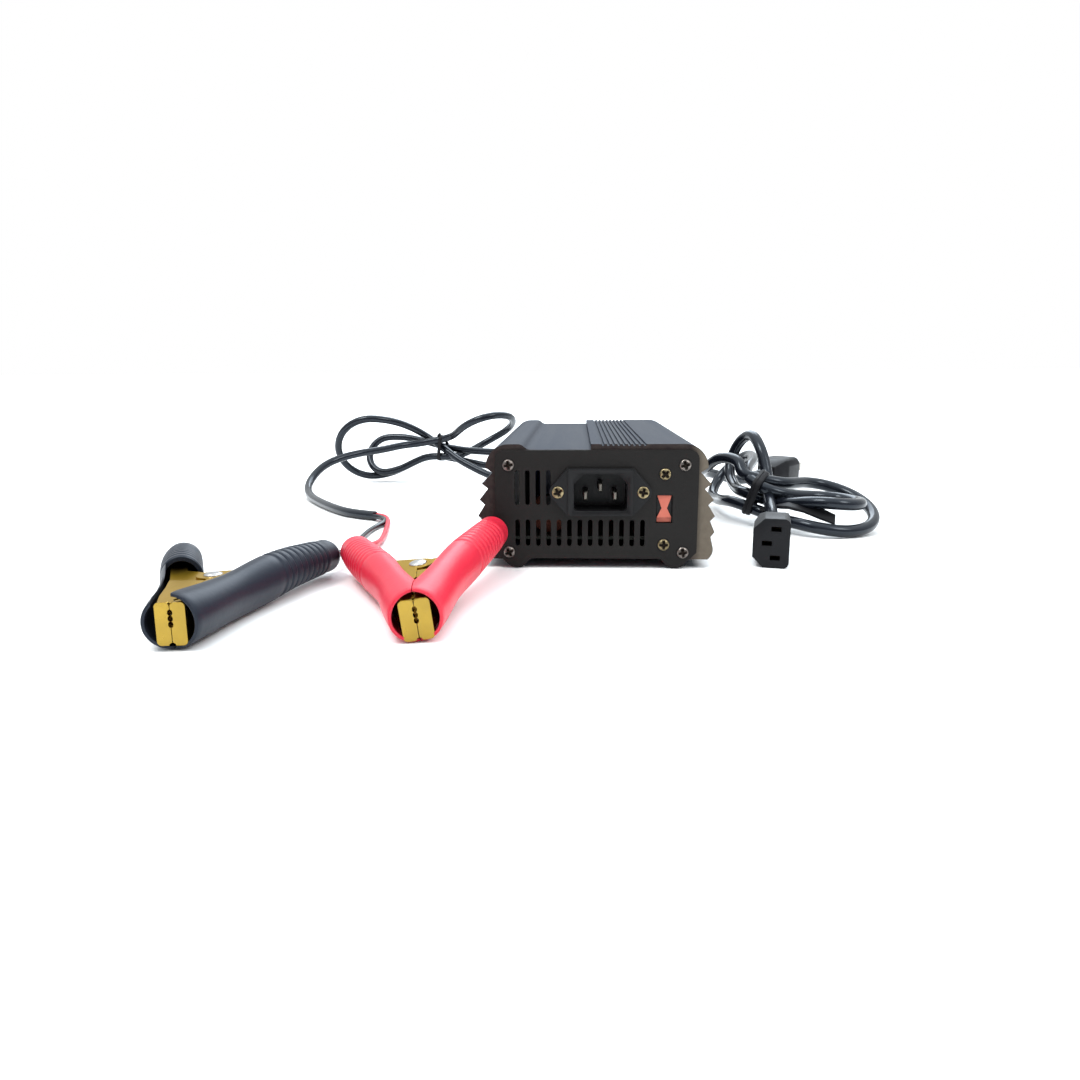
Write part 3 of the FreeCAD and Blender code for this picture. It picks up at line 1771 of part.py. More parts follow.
def plug():
    half_width = plug_width / 2
    half_height = plug_height / 2
    outline = rectangle(-half_width, half_width, -half_height, half_height, plug_corner)
    body = prism([outline], 0, plug_length)
    body = narrowed(body, half_width, half_height, plug_taper, plug_grip, plug_length)
    for blade in plug_blade_shapes(plug_blade_fit):
        body = body.cut(blade)
    return facing(body, plug_face, plug_heading)


def plug_blade_shapes(grow):
    blades = []
    for side in (-1, 1):
        x = side * plug_blade_spacing / 2
        half = plug_blade_thickness / 2 + grow
        tall = plug_blade_width / 2 + grow
        z = plug_blade_lift
        blades.append(
            block(x - half, x + half, -plug_blade_length, plug_blade_root, z - tall, z + tall)
        )
    radius = plug_earth_radius + grow
    length = plug_blade_length + plug_blade_root
    blades.append(rod(V(0, -plug_blade_length, plug_blade_lift - plug_earth_drop), BACK, radius, length))
    return blades


relief_exit = connector_face + heading_of(connector_heading) * (connector_length + relief_length)
plug_exit = plug_face + heading_of(plug_heading) * (plug_length + relief_length)

mains_along = unit(mains_tie_heading)
mains_places = hank_nodes(mains_tie, mains_along, mains_slots, mains_loops, mains_arrive, mains_leave)
mains_hank, mains_hank_edges, coil_start, coil_end = hank(
    "mains_lead_hank", mains_places, mains_diameter
)
mains_front = routed(
    "mains_lead_front",
    [
        relief_exit,
        relief_exit + heading_of(connector_heading) * mains_end_run,
        coil_start - unit(mains_arrive) * mains_end_run,
        coil_start,
    ],
    mains_diameter,
)
mains_rear = routed(
    "mains_lead_rear",
    [coil_end, coil_end + unit(mains_leave) * mains_leave_run]
    + mains_rear_points
    + [plug_exit + heading_of(plug_heading) * mains_end_run, plug_exit],
    mains_diameter,
)
mains_tie_centre = mains_tie + mains_along * mains_tie_offset


bulk_places = [(bulk_x, bulk_front_y), (bulk_x, bulk_front_y + bulk_pitch)]
output_places = [
    (output_capacitor_x + output_capacitor_pitch * i, output_capacitor_y)
    for i in range(output_capacitor_count)
]

nodes = {
    "case_extrusion": case_extrusion(),
    "front_plate": front_plate(),
    "rear_plate": rear_plate(),
    "front_plate_screws": placed(flat_screw(corner_screw_length), corner_screws, front_face),
    "selector_screws": placed(flat_screw(selector_screw_length), selector_screws, front_face),
    "rear_plate_screws": placed(flat_screw(corner_screw_length), corner_screws, back_face, True),
    "inlet_housing": inlet_housing(),
    "inlet_pins": inlet_pins(),
    "inlet_screws": placed(sunk_screw(inlet_screw_length), inlet_screws, flange_face),
    "selector_body": selector_body(),
    "selector_slider": selector_slider(),
    "circuit_board": circuit_board(),
    "transformer_core": transformer_core(),
    "transformer_winding": transformer_winding(),
    "bulk_capacitors": standing_cans(bulk_places, bulk_radius, bulk_height),
    "output_capacitors": standing_cans(output_places, output_capacitor_radius, output_capacitor_height),
    "choke_core": choke_ring(0),
    "choke_winding": choke_winding(),
    "heat_spreader_bars": heat_spreader_bars(),
    "power_transistors": power_transistors(),
    "fuse": fuse(),
    "inlet_wires": inlet_wires(),
    "output_terminals": output_terminals(),
    "output_wires": output_wires(),
    "fan_frame": fan_frame(),
    "fan_rotor": fan_rotor(),
    "fan_screws": placed(flat_screw(fan_screw_length), fan_screws, back_face, True),
    "charge_lamps": charge_lamps(),
    "lamp_board": lamp_board(),
    "cable_gland": cable_gland(),
    "gland_nut": gland_nut_ring(),
}
nodes.update(clamp("red", red_clamp_rim, red_clamp_turn, "left"))
nodes.update(clamp("black", black_clamp_rim, black_clamp_turn, "right"))
nodes.update({
    "dc_lead_start": lead_start,
    "dc_lead_hank": lead_hank,
    "dc_lead_end": lead_end,
    "dc_lead_tie": band(
        lead_hank_edges, lead_tie, lead_along, tie_width, lead_tie_reach, lead_diameter
    ),
    "black_wire": black_wire,
    "red_wire": red_wire,
    "mains_connector": connector(),
    "mains_connector_contacts": connector_contacts(),
    "mains_connector_relief": facing(
        strain_relief(connector_length), connector_face, connector_heading
    ),
    "mains_lead_front": mains_front,
    "mains_lead_hank": mains_hank,
    "mains_lead_rear": mains_rear,
    "mains_lead_tie": band(
        mains_hank_edges[mains_tie_skip_count:],
        mains_tie_centre,
        mains_along,
        tie_width,
        mains_tie_reach,
        mains_diameter,
    ),
    "mains_plug": plug(),
    "mains_plug_blades": facing(
        Part.makeCompound(plug_blade_shapes(0)), plug_face, plug_heading
    ),
    "mains_plug_relief": facing(strain_relief(plug_length), plug_face, plug_heading),
})

os.makedirs("parts", exist_ok=True)
for name, shape in nodes.items():
    print(name, "valid" if shape.isValid() else "NOT VALID", round(shape.BoundBox.ZMin, 2))
    shape.exportStep("parts/" + name + ".step")
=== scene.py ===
import math
import bmesh
import bpy
from mathutils import Matrix, Vector


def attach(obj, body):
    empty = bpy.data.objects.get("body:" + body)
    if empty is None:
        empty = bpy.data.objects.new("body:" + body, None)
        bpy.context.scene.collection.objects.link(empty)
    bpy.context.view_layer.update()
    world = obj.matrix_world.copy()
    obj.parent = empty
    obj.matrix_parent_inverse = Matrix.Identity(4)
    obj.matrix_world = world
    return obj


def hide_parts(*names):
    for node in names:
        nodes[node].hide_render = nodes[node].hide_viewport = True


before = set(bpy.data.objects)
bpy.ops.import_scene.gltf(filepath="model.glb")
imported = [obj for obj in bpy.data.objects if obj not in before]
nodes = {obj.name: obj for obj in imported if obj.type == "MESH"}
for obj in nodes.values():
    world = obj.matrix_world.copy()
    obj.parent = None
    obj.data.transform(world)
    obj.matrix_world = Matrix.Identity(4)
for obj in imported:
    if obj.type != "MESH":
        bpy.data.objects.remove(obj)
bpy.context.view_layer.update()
mm = 0.001
up = Vector((0, 0, 1))


def metres(values):
    return Vector(values) * mm


def placed(name, data):
    # Object in the scene that holds this mesh, curve, lamp or camera
    made = bpy.data.objects.new(name, data)
    bpy.context.scene.collection.objects.link(made)
    return made


# Camera, at the photograph's place
camera = {
    "place": (-9.33, -463.88, 92.62),
    "pitch": 0.2109,
    "yaw": 0.047,
    "roll": -0.0058,
    "lens": 26.165,
    "sensor": 36.0,
    "nearest": 0.01,
}
cameraData = bpy.data.cameras.new("camera")
cameraData.lens = camera["lens"]
cameraData.sensor_width = camera["sensor"]
cameraData.clip_start = camera["nearest"]
cameraObject = placed("camera", cameraData)
cameraObject.matrix_world = (
    Matrix.Translation(metres(camera["place"]))
    @ Matrix.Rotation(camera["yaw"], 4, "Z")
    @ Matrix.Rotation(math.pi / 2 - camera["pitch"], 4, "X")
    @ Matrix.Rotation(camera["roll"], 4, "Z")
)
bpy.context.scene.camera = cameraObject


# Shader nodes
def feed(tree, socket, value):
    # The value is a number, a colour or another node's output
    if isinstance(value, bpy.types.NodeSocket):
        tree.links.new(value, socket)
    elif isinstance(value, tuple):
        socket.default_value = (*value, 1)
    else:
        socket.default_value = value


def setInputs(node, values):
    for name, value in values.items():
        node.inputs[name].default_value = value


def mathNode(tree, operation, *values):
    node = tree.nodes.new("ShaderNodeMath")
    node.operation = operation
    for socket, value in zip(node.inputs, values):
        feed(tree, socket, value)
    return node.outputs[0]


def mixNode(tree, factor, first, second):
    node = tree.nodes.new("ShaderNodeMix")
    node.data_type = "RGBA"
    for name, value in (("Factor", factor), ("A", first), ("B", second)):
        feed(tree, node.inputs[name], value)
    return node.outputs["Result"]


def noiseNode(tree, vector, scale, detail):
    node = tree.nodes.new("ShaderNodeTexNoise")
    for name, value in (("Vector", vector), ("Scale", scale), ("Detail", detail)):
        feed(tree, node.inputs[name], value)
    return node.outputs["Fac"]


def coordinates(tree, kind):
    # X, Y and Z of one kind of texture coordinate
    place = tree.nodes.new("ShaderNodeTexCoord")
    parts = tree.nodes.new("ShaderNodeSeparateXYZ")
    tree.links.new(place.outputs[kind], parts.inputs[0])
    return parts.outputs


# Shared surface effect: mottled colour, uneven gloss, fine relief and softened edges
def surfaceGroup(grainDetail=3.0, patchDetail=5.0, bevelSamples=6, reliefHeight=0.2):
    group = bpy.data.node_groups.new("mottledSurface", "ShaderNodeTree")
    inputs = (
        ("Base", "Color", (0.5, 0.5, 0.5, 1)), ("Tint", "Color", (0.4, 0.4, 0.4, 1)),
        ("Grain", "Float", 900.0), ("Patch", "Float", 60.0), ("Stretch", "Vector", (1, 1, 1)),
        ("Rough", "Float", 0.4), ("Rough Span", "Float", 0.1), ("Relief", "Float", 0.1),
        ("Edge", "Float", 0.0003),
    )
    for name, kind, value in inputs:
        socket = group.interface.new_socket(name=name, in_out="INPUT", socket_type="NodeSocket" + kind)
        socket.default_value = value
    for name, kind in (("Color", "Color"), ("Roughness", "Float"), ("Normal", "Vector")):
        group.interface.new_socket(name=name, in_out="OUTPUT", socket_type="NodeSocket" + kind)
    link = group.links.new
    source = group.nodes.new("NodeGroupInput").outputs
    sink = group.nodes.new("NodeGroupOutput").inputs
    place = group.nodes.new("ShaderNodeTexCoord")
    scaled = group.nodes.new("ShaderNodeVectorMath")
    scaled.operation = "MULTIPLY"
    link(place.outputs["Object"], scaled.inputs[0])
    link(source["Stretch"], scaled.inputs[1])
    grain = noiseNode(group, scaled.outputs[0], source["Grain"], grainDetail)
    patch = noiseNode(group, scaled.outputs[0], source["Patch"], patchDetail)
    link(mixNode(group, patch, source["Base"], source["Tint"]), sink["Color"])
    link(mathNode(group, "MULTIPLY_ADD", patch, source["Rough Span"], source["Rough"]), sink["Roughness"])
    bevel = group.nodes.new("ShaderNodeBevel")
    bevel.samples = bevelSamples
    link(source["Edge"], bevel.inputs["Radius"])
    bump = group.nodes.new("ShaderNodeBump")
    bump.inputs["Distance"].default_value = reliefHeight * mm
    link(source["Relief"], bump.inputs["Strength"])
    link(grain, bump.inputs["Height"])
    link(bevel.outputs["Normal"], bump.inputs["Normal"])
    link(bump.outputs["Normal"], sink["Normal"])
    return group


mottled = surfaceGroup()
# What a look has where it says nothing else; edge and depth are in millimetres
plainLook = {
    "grain": 900.0, "patch": 60.0, "stretch": (1, 1, 1), "span": 0.1, "relief": 0.1, "edge": 0.3,
    "metallic": 0.0, "ior": 1.45, "gloss": (1, 1, 1), "coat": 0.0, "coatRough": 0.1,
    "subsurface": 0.0, "depth": 2.0,
}


def finish(name, look):
    look = {**plainLook, **look}
    material = bpy.data.materials.new(name)
    material.use_nodes = True
    tree = material.node_tree
    shader = tree.nodes["Principled BSDF"]
    effect = tree.nodes.new("ShaderNodeGroup")
    effect.node_tree = mottled
    effect.name = "effect"
    setInputs(effect, {
        "Base": (*look["base"], 1), "Tint": (*look["tint"], 1), "Grain": look["grain"],
        "Patch": look["patch"], "Stretch": look["stretch"], "Rough": look["rough"],
        "Rough Span": look["span"], "Relief": look["relief"], "Edge": look["edge"] * mm,
    })
    for output, entry in (("Color", "Base Color"), ("Roughness", "Roughness"), ("Normal", "Normal")):
        tree.links.new(effect.outputs[output], shader.inputs[entry])
    setInputs(shader, {
        "Metallic": look["metallic"], "IOR": look["ior"], "Specular Tint": (*look["gloss"], 1),
        "Coat Weight": look["coat"], "Coat Roughness": look["coatRough"],
        "Subsurface Weight": look["subsurface"], "Subsurface Scale": look["depth"] * mm,
    })
    return material


looks = {
    "plate": {
        "base": (0.0092, 0.0085, 0.0082), "tint": (0.0155, 0.0142, 0.0135), "patch": 35.0,
        "rough": 0.36, "span": 0.16, "relief": 0.25, "grain": 1600.0, "ior": 1.22,
    },
    "screw": {
        "base": (0.3, 0.27, 0.25), "tint": (0.14, 0.12, 0.11), "patch": 500.0, "metallic": 1.0,
        "rough": 0.2, "span": 0.2, "relief": 0.15, "edge": 0.12,
    },
    "goldScrew": {
        "base": (0.38, 0.31, 0.18), "tint": (0.19, 0.15, 0.08), "patch": 500.0, "metallic": 1.0,
        "rough": 0.22, "span": 0.2, "relief": 0.15, "edge": 0.12,
    },
    "blackPlastic": {
        "base": (0.006, 0.006, 0.0065), "tint": (0.011, 0.011, 0.012), "patch": 90.0,
        "rough": 0.26, "span": 0.14, "relief": 0.3, "grain": 2400.0, "edge": 0.5, "ior": 1.25,
    },
    "connector": {
        "base": (0.0045, 0.0046, 0.0055), "tint": (0.0095, 0.0098, 0.012), "patch": 120.0,
        "rough": 0.34, "span": 0.14, "relief": 0.4, "grain": 1800.0, "edge": 1.1, "ior": 1.25,
    },
    "pin": {
        "base": (0.2, 0.185, 0.16), "tint": (0.08, 0.075, 0.065), "patch": 300.0, "metallic": 1.0,
        "rough": 0.2, "span": 0.2, "relief": 0.2, "edge": 0.5,
    },
    # Painted shade: a darker copy of brass for the connector's contacts, as if shaded in their slots
    "contact": {
        "base": (0.09, 0.06, 0.03), "tint": (0.04, 0.03, 0.015), "patch": 120.0, "metallic": 1.0,
        "rough": 0.4, "span": 0.2, "relief": 0.2,
    },
    "brass": {
        "base": (0.42, 0.4, 0.36), "tint": (0.27, 0.25, 0.22), "patch": 120.0, "metallic": 1.0,
        "rough": 0.22, "span": 0.2, "relief": 0.2, "stretch": (1, 0.2, 1),
    },
    "slider": {
        "base": (0.55, 0.15, 0.1), "tint": (0.42, 0.1, 0.07), "patch": 200.0,
        "rough": 0.42, "relief": 0.15, "ior": 1.35,
    },
    "board": {
        "base": (0.05, 0.055, 0.045), "tint": (0.025, 0.03, 0.022), "patch": 400.0,
        "rough": 0.5, "relief": 0.3, "stretch": (0.3, 1, 3),
    },
    "ferrite": {
        "base": (0.05, 0.05, 0.055), "tint": (0.025, 0.025, 0.028), "patch": 150.0,
        "rough": 0.6, "relief": 0.5, "grain": 1200.0,
    },
    "copper": {
        "base": (0.11, 0.028, 0.014), "tint": (0.05, 0.012, 0.007), "patch": 60.0, "metallic": 0.7,
        "rough": 0.3, "span": 0.2, "relief": 1.0, "grain": 500.0, "stretch": (0.2, 0.2, 4),
    },
    "can": {
        "base": (0.03, 0.04, 0.11), "tint": (0.015, 0.02, 0.06), "patch": 80.0,
        "rough": 0.3, "relief": 0.1,
    },
    "bareAluminium": {
        "base": (0.5, 0.51, 0.52), "tint": (0.36, 0.37, 0.38), "patch": 50.0, "metallic": 1.0,
        "rough": 0.3, "span": 0.2, "relief": 0.4, "stretch": (1, 0.05, 1),
    },
    "component": {
        "base": (0.015, 0.015, 0.017), "tint": (0.028, 0.028, 0.03), "patch": 300.0,
        "rough": 0.5, "relief": 0.4,
    },
    "glass": {
        "base": (0.6, 0.63, 0.62), "tint": (0.45, 0.48, 0.47), "patch": 200.0,
        "rough": 0.08, "span": 0.05, "relief": 0.05,
    },
    "innerWire": {
        "base": (0.5, 0.02, 0.015), "tint": (0.34, 0.015, 0.01), "patch": 150.0,
        "rough": 0.35, "relief": 0.2,
    },
    "terminal": {
        "base": (0.03, 0.16, 0.06), "tint": (0.015, 0.1, 0.035), "patch": 150.0,
        "rough": 0.4, "relief": 0.2,
    },
    "lamp": {
        "base": (0.5, 0.03, 0.02), "tint": (0.32, 0.02, 0.015), "patch": 300.0,
        "rough": 0.15, "span": 0.08, "relief": 0.05, "subsurface": 0.3,
    },
    "jaw": {
        "base": (0.42, 0.27, 0.03), "tint": (0.25, 0.165, 0.025), "patch": 90.0, "metallic": 1.0,
        "rough": 0.17, "span": 0.26, "relief": 0.35, "grain": 700.0, "stretch": (1, 0.3, 1),
        "edge": 0.2, "gloss": (0.9, 0.68, 0.25), "coat": 0.4, "coatRough": 0.22,
    },
    "steel": {
        "base": (0.52, 0.52, 0.53), "tint": (0.34, 0.33, 0.32), "patch": 200.0, "metallic": 1.0,
        "rough": 0.18, "span": 0.2, "relief": 0.2,
    },
    "spring": {
        "base": (0.62, 0.47, 0.14), "tint": (0.4, 0.3, 0.1), "patch": 200.0, "metallic": 1.0,
        "rough": 0.2, "span": 0.2, "relief": 0.2,
    },
    "redVinyl": {
        "base": (0.64, 0.02, 0.045), "tint": (0.52, 0.013, 0.036), "patch": 45.0,
        "rough": 0.36, "span": 0.12, "relief": 0.25, "grain": 500.0, "subsurface": 0.08,
        "edge": 0.4, "ior": 1.4,
    },
    "blueBlackVinyl": {
        "base": (0.0085, 0.011, 0.018), "tint": (0.015, 0.019, 0.03), "patch": 45.0,
        "rough": 0.36, "span": 0.12, "relief": 0.25, "grain": 500.0, "edge": 0.4, "ior": 1.32,
        "gloss": (0.85, 0.92, 1.0),
    },
    "cord": {
        "base": (0.0042, 0.005, 0.0075), "tint": (0.009, 0.0105, 0.0155), "patch": 60.0,
        "rough": 0.13, "span": 0.1, "relief": 0.2, "grain": 700.0, "ior": 1.42,
        "gloss": (0.8, 0.9, 1.0),
    },
    "redWire": {
        "base": (0.6, 0.035, 0.06), "tint": (0.48, 0.025, 0.045), "patch": 80.0,
        "rough": 0.28, "relief": 0.2, "ior": 1.35,
    },
    "tie": {
        "base": (0.005, 0.005, 0.006), "tint": (0.011, 0.011, 0.013), "patch": 150.0,
        "rough": 0.45, "relief": 0.6, "grain": 1500.0, "edge": 0.2, "ior": 1.25,
    },
}
materials = {name: finish(name, look) for name, look in looks.items()}


def secondColour(name, factor, colour):
    # Another colour where the factor is 1
    tree = materials[name].node_tree
    shown = mixNode(tree, factor(tree), tree.nodes["effect"].outputs["Color"], colour)
    tree.links.new(shown, tree.nodes["Principled BSDF"].inputs["Base Color"])


# Painted shade: the slider's recessed sides beside its neck are coloured near-black
neckShade = {"behind": -95.3, "above": 25.0, "colour": (0.006, 0.006, 0.006)}
# Painted shade in the screw crosses and painted dark reflection over the heads' centres
sunkShadeColour = (0.014, 0.011, 0.009)


def shadeBesideNeck(tree):
    # 1 where painted shade darkens the slider's recessed sides beside its neck, above its lower strip
    place = coordinates(tree, "Object")
    isBehind = mathNode(tree, "GREATER_THAN", place["Y"], neckShade["behind"] * mm)
    isAbove = mathNode(tree, "GREATER_THAN", place["Z"], neckShade["above"] * mm)
    return mathNode(tree, "MULTIPLY", isBehind, isAbove)


def sunkShade(tree):
    # Painted shade in the crosses of the screw heads and a painted dark reflection over their hollow
    # centres
    node = tree.nodes.new("ShaderNodeAttribute")
    node.attribute_name = "sunk"
    return node.outputs["Fac"]


# Painted shade on the slider beside its neck
secondColour("slider", shadeBesideNeck, neckShade["colour"])
# Screw heads darkened by painted shade in the cross and a painted dark reflection at the centre
for name in ("screw", "goldScrew"):
    secondColour(name, sunkShade, sunkShadeColour)


def anodisedCase(look):
    # Black anodised skin with streaks along the extrusion; the sawn ends are bare, with painted shade
    # darkening them to the left that lifts towards the right
    material = finish("case", look)
    tree = material.node_tree
    facing = mathNode(tree, "ABSOLUTE", coordinates(tree, "Normal")["Y"])
    isEnd = mathNode(tree, "GREATER_THAN", facing, look["endFacing"])
    place = tree.nodes.new("ShaderNodeTexCoord")
    saw = noiseNode(tree, place.outputs["Object"], look["sawGrain"], look["sawDetail"])
    # Painted shade on the sawn ends, lifting from the left to the bare colour at the right
    shadeLifting = tree.nodes.new("ShaderNodeMapRange")
    start, end = look["shadeLift"]
    setInputs(shadeLifting, {"From Min": start * mm, "From Max": end * mm, "To Max": look["shadeLiftBy"]})
    tree.links.new(coordinates(tree, "Object")["X"], shadeLifting.inputs["Value"])
    amount = mathNode(tree, "MULTIPLY_ADD", saw, look["sawShare"], shadeLifting.outputs["Result"])
    bare = mixNode(tree, amount, look["endShade"], look["endLight"])
    shown = mixNode(tree, isEnd, tree.nodes["effect"].outputs["Color"], bare)
    tree.links.new(shown, tree.nodes["Principled BSDF"].inputs["Base Color"])
    return material


materials["case"] = anodisedCase({
    "base": (0.0045, 0.0068, 0.0125), "tint": (0.0145, 0.0205, 0.036), "patch": 60.0,
    "stretch": (1, 0.05, 1), "grain": 1400.0, "rough": 0.3, "span": 0.24, "relief": 0.3,
    "ior": 1.1, "edge": 0.25, "gloss": (0.45, 0.7, 1.0),
    # The darker end colour is painted shade on the sawn ends; the lighter one is their bare colour
    "endFacing": 0.9, "endShade": (0.022, 0.016, 0.018), "endLight": (0.145, 0.122, 0.095),
    "sawGrain": 500.0, "sawDetail": 2.0, "sawShare": 0.25, "shadeLift": (44.0, 50.0), "shadeLiftBy": 0.75,
})
print("stage materials", len(materials))

# The nodes that keep their solids
kept = {
    "case": ["case_extrusion"],
    "plate": ["front_plate", "rear_plate"],
    "blackPlastic": ["inlet_housing", "selector_body", "fan_frame", "fan_rotor", "gland_nut"],
    "pin": ["inlet_pins"],
    "contact": ["mains_connector_contacts"],
    "brass": ["mains_plug_blades"],
    "slider": ["selector_slider"],
    "board": ["circuit_board", "lamp_board"],
    "ferrite": ["transformer_core", "choke_core"],
    "copper": ["transformer_winding", "choke_winding"],
    "can": ["bulk_capacitors", "output_capacitors"],
    "bareAluminium": ["heat_spreader_bars"],
    "component": ["power_transistors"],
    "glass": ["fuse"],
    "innerWire": ["inlet_wires", "output_wires"],
    "terminal": ["output_terminals"],
    "lamp": ["charge_lamps"],
}
for name, members in kept.items():
    for member in members:
        mesh = nodes[member].data
        mesh.materials.clear()
        mesh.materials.append(materials[name])


# Building blocks
def meshObject(name, mesh, material, smoothBelow=38.0):
    bmesh.ops.remove_doubles(mesh, verts=mesh.verts, dist=1e-7)
    bmesh.ops.recalc_face_normals(mesh, faces=mesh.faces)
    for face in mesh.faces:
        face.smooth = True
    for edge in mesh.edges:
        edge.smooth = edge.calc_face_angle(0) < math.radians(smoothBelow)
    data = bpy.data.meshes.new(name)
    mesh.to_mesh(data)
    mesh.free()
    data.materials.append(materials[material])
    return placed(name, data)


def meshOf(thing):
    mesh = bmesh.new()
    mesh.from_mesh(thing.data)
    return mesh


def mirrored(mesh):
    mesh.transform(Matrix.Scale(-1, 4, (1, 0, 0)))
    bmesh.ops.reverse_faces(mesh, faces=mesh.faces)


def shifted(mesh, place):
    mesh.transform(Matrix.Translation(metres(place)))
    return mesh


def settle(piece, body, slot, *replaced):
    if replaced:
        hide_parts(*replaced)
    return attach(piece, body)


def bridge(mesh, rings):
    # Faces from each ring to the next; a ring of one vertex is a pole
    for near, far in zip(rings, rings[1:]):
        for k in range(max(len(near), len(far))):
            corners = []
            for ring, i in ((near, k), (near, k + 1), (far, k + 1), (far, k)):
                corner = ring[i % len(ring)]
                if corner not in corners:
                    corners.append(corner)
            mesh.faces.new(corners)


def turned(profile, segments, matrix=Matrix.Identity(4)):
    # Profile of (along, radius) in millimetres, turned about Y
    mesh = bmesh.new()
    rings = []
    for along, radius in profile:
        if radius < 1e-4:
            rings.append([mesh.verts.new(matrix @ metres((0, along, 0)))])
            continue
        angles = [2 * math.pi * k / segments for k in range(segments)]
        rings.append([
            mesh.verts.new(matrix @ metres((radius * math.cos(a), along, radius * math.sin(a))))
            for a in angles
        ])
    bridge(mesh, rings)
    return mesh


def rod(start, end, radius, segments, matrix=Matrix.Identity(4)):
    return turned([(start, 0), (start, radius), (end, radius), (end, 0)], segments, matrix)


def slab(outline, front, back):
    # Outline of (x, z), from one y to another
    mesh = bmesh.new()
    rings = [[mesh.verts.new(metres((x, y, z))) for x, z in outline] for y in (front, back)]
    for ring in rings:
        mesh.faces.new(ring)
    bridge(mesh, rings)
    return mesh


def roundOutline(width, height, radius):
    # Rectangle with round corners
    outline = []
    for cornerX, cornerZ, first in ((1, -1, -90), (1, 1, 0), (-1, 1, 90), (-1, -1, 180)):
        for i in range(7):
            angle = math.radians(first + 15 * i)
            outline.append((
                cornerX * (width / 2 - radius) + radius * math.cos(angle),
                cornerZ * (height / 2 - radius) + radius * math.sin(angle),
            ))
    return outline


def boxMesh(x0, x1, y0, y1, z0, z1):
    mesh = bmesh.new()
    corners = [mesh.verts.new(metres((x, y, z))) for x in (x0, x1) for y in (y0, y1) for z in (z0, z1)]
    for face in ((0, 1, 3, 2), (4, 6, 7, 5), (0, 4, 5, 1), (2, 3, 7, 6), (0, 2, 6, 4), (1, 5, 7, 3)):
        mesh.faces.new([corners[i] for i in face])
    return mesh


def applied(target):
    # The object with its modifiers made part of its mesh
    bpy.context.view_layer.update()
    fresh = bpy.data.meshes.new_from_object(target.evaluated_get(bpy.context.evaluated_depsgraph_get()))
    target.modifiers.clear()
    target.data = fresh
    return target


def carved(target, steps):
    # Each step is a boolean with another mesh, applied in order
    for operation, cutter in steps:
        tool = meshObject("tool", cutter, "steel")
        change = target.modifiers.new("cut", "BOOLEAN")
        change.operation = operation
        change.object = tool
        change.solver = "EXACT"
        applied(target)
        bpy.data.objects.remove(tool)
    return target


# Cords
def curvePiece(name, points, diameter, material):
    data = bpy.data.curves.new(name, "CURVE")
    data.dimensions = "3D"
    data.bevel_depth = diameter / 2 * mm
    data.bevel_resolution = 6
    data.resolution_u = 6
    data.use_fill_caps = True
    spline = data.splines.new("NURBS")
    spline.points.add(len(points) - 1)
    for point, place in zip(spline.points, points):
        point.co = (*metres(place), 1)
    spline.order_u = 3
    spline.use_endpoint_u = True
    data.materials.append(materials[material])
    return placed(name, data)


def smoothSpan(first, firstWay, last, lastWay, count, fullness=1.17):
    # Points on a curve that leaves and arrives in the given directions
    pull = (last - first).length * fullness
    points = []
    for i in range(count):
        s = i / count
        points.append(
            first * (2 * s ** 3 - 3 * s ** 2 + 1) + firstWay * (pull * (s ** 3 - 2 * s ** 2 + s))
            + last * (3 * s ** 2 - 2 * s ** 3) + lastWay * (pull * (s ** 3 - s ** 2))
        )
    return points


def hankPoints(lead):
    # Loops that leave the tie, turn round at the far end and come back to the tie's next place
    tie = Vector(lead["tie"])
    heading = Vector(lead["heading"]).normalized()
    stations = [(tie + Vector(lead["slots"][0]), Vector(lead["arrive"]).normalized())]
    followers = [heading * sign for sign, reach, side in lead["loops"][1:]]
    followers.append(Vector(lead["leave"]).normalized())
    for (sign, reach, side), place, following in zip(lead["loops"], lead["slots"][1:], followers):
        outward = Vector(reach).normalized()
        spread = Vector(side) - outward * Vector(side).dot(outward)
        shoulder = tie + Vector(reach) - outward * spread.length
        stations.append((shoulder + spread, outward))
        stations.append((tie + Vector(reach), -spread.normalized()))
        stations.append((shoulder - spread, -outward))
        stations.append((tie + Vector(place), following))
    points = []
    for (p0, t0), (p1, t1) in zip(stations, stations[1:]):
        points += smoothSpan(p0, t0, p1, t1, lead["perSpan"])
    return points + [stations[-1][0]]


def leadPiece(name, lead):
    # From the exit into the tie, round the hank, and out of the tie to the far end
    tie = Vector(lead["tie"])
    arriving = tie + Vector(lead["slots"][0])
    leaving = tie + Vector(lead["slots"][-1])
    arriveWay = Vector(lead["arrive"]).normalized()
    leaveWay = Vector(lead["leave"]).normalized()
    points = lead["start"] + [arriving - arriveWay * run for run in lead["runsIn"]] + hankPoints(lead)
    points += [leaving + leaveWay * run for run in lead["runsOut"]] + lead["end"]
    return curvePiece(name, points, lead["diameter"], "cord")


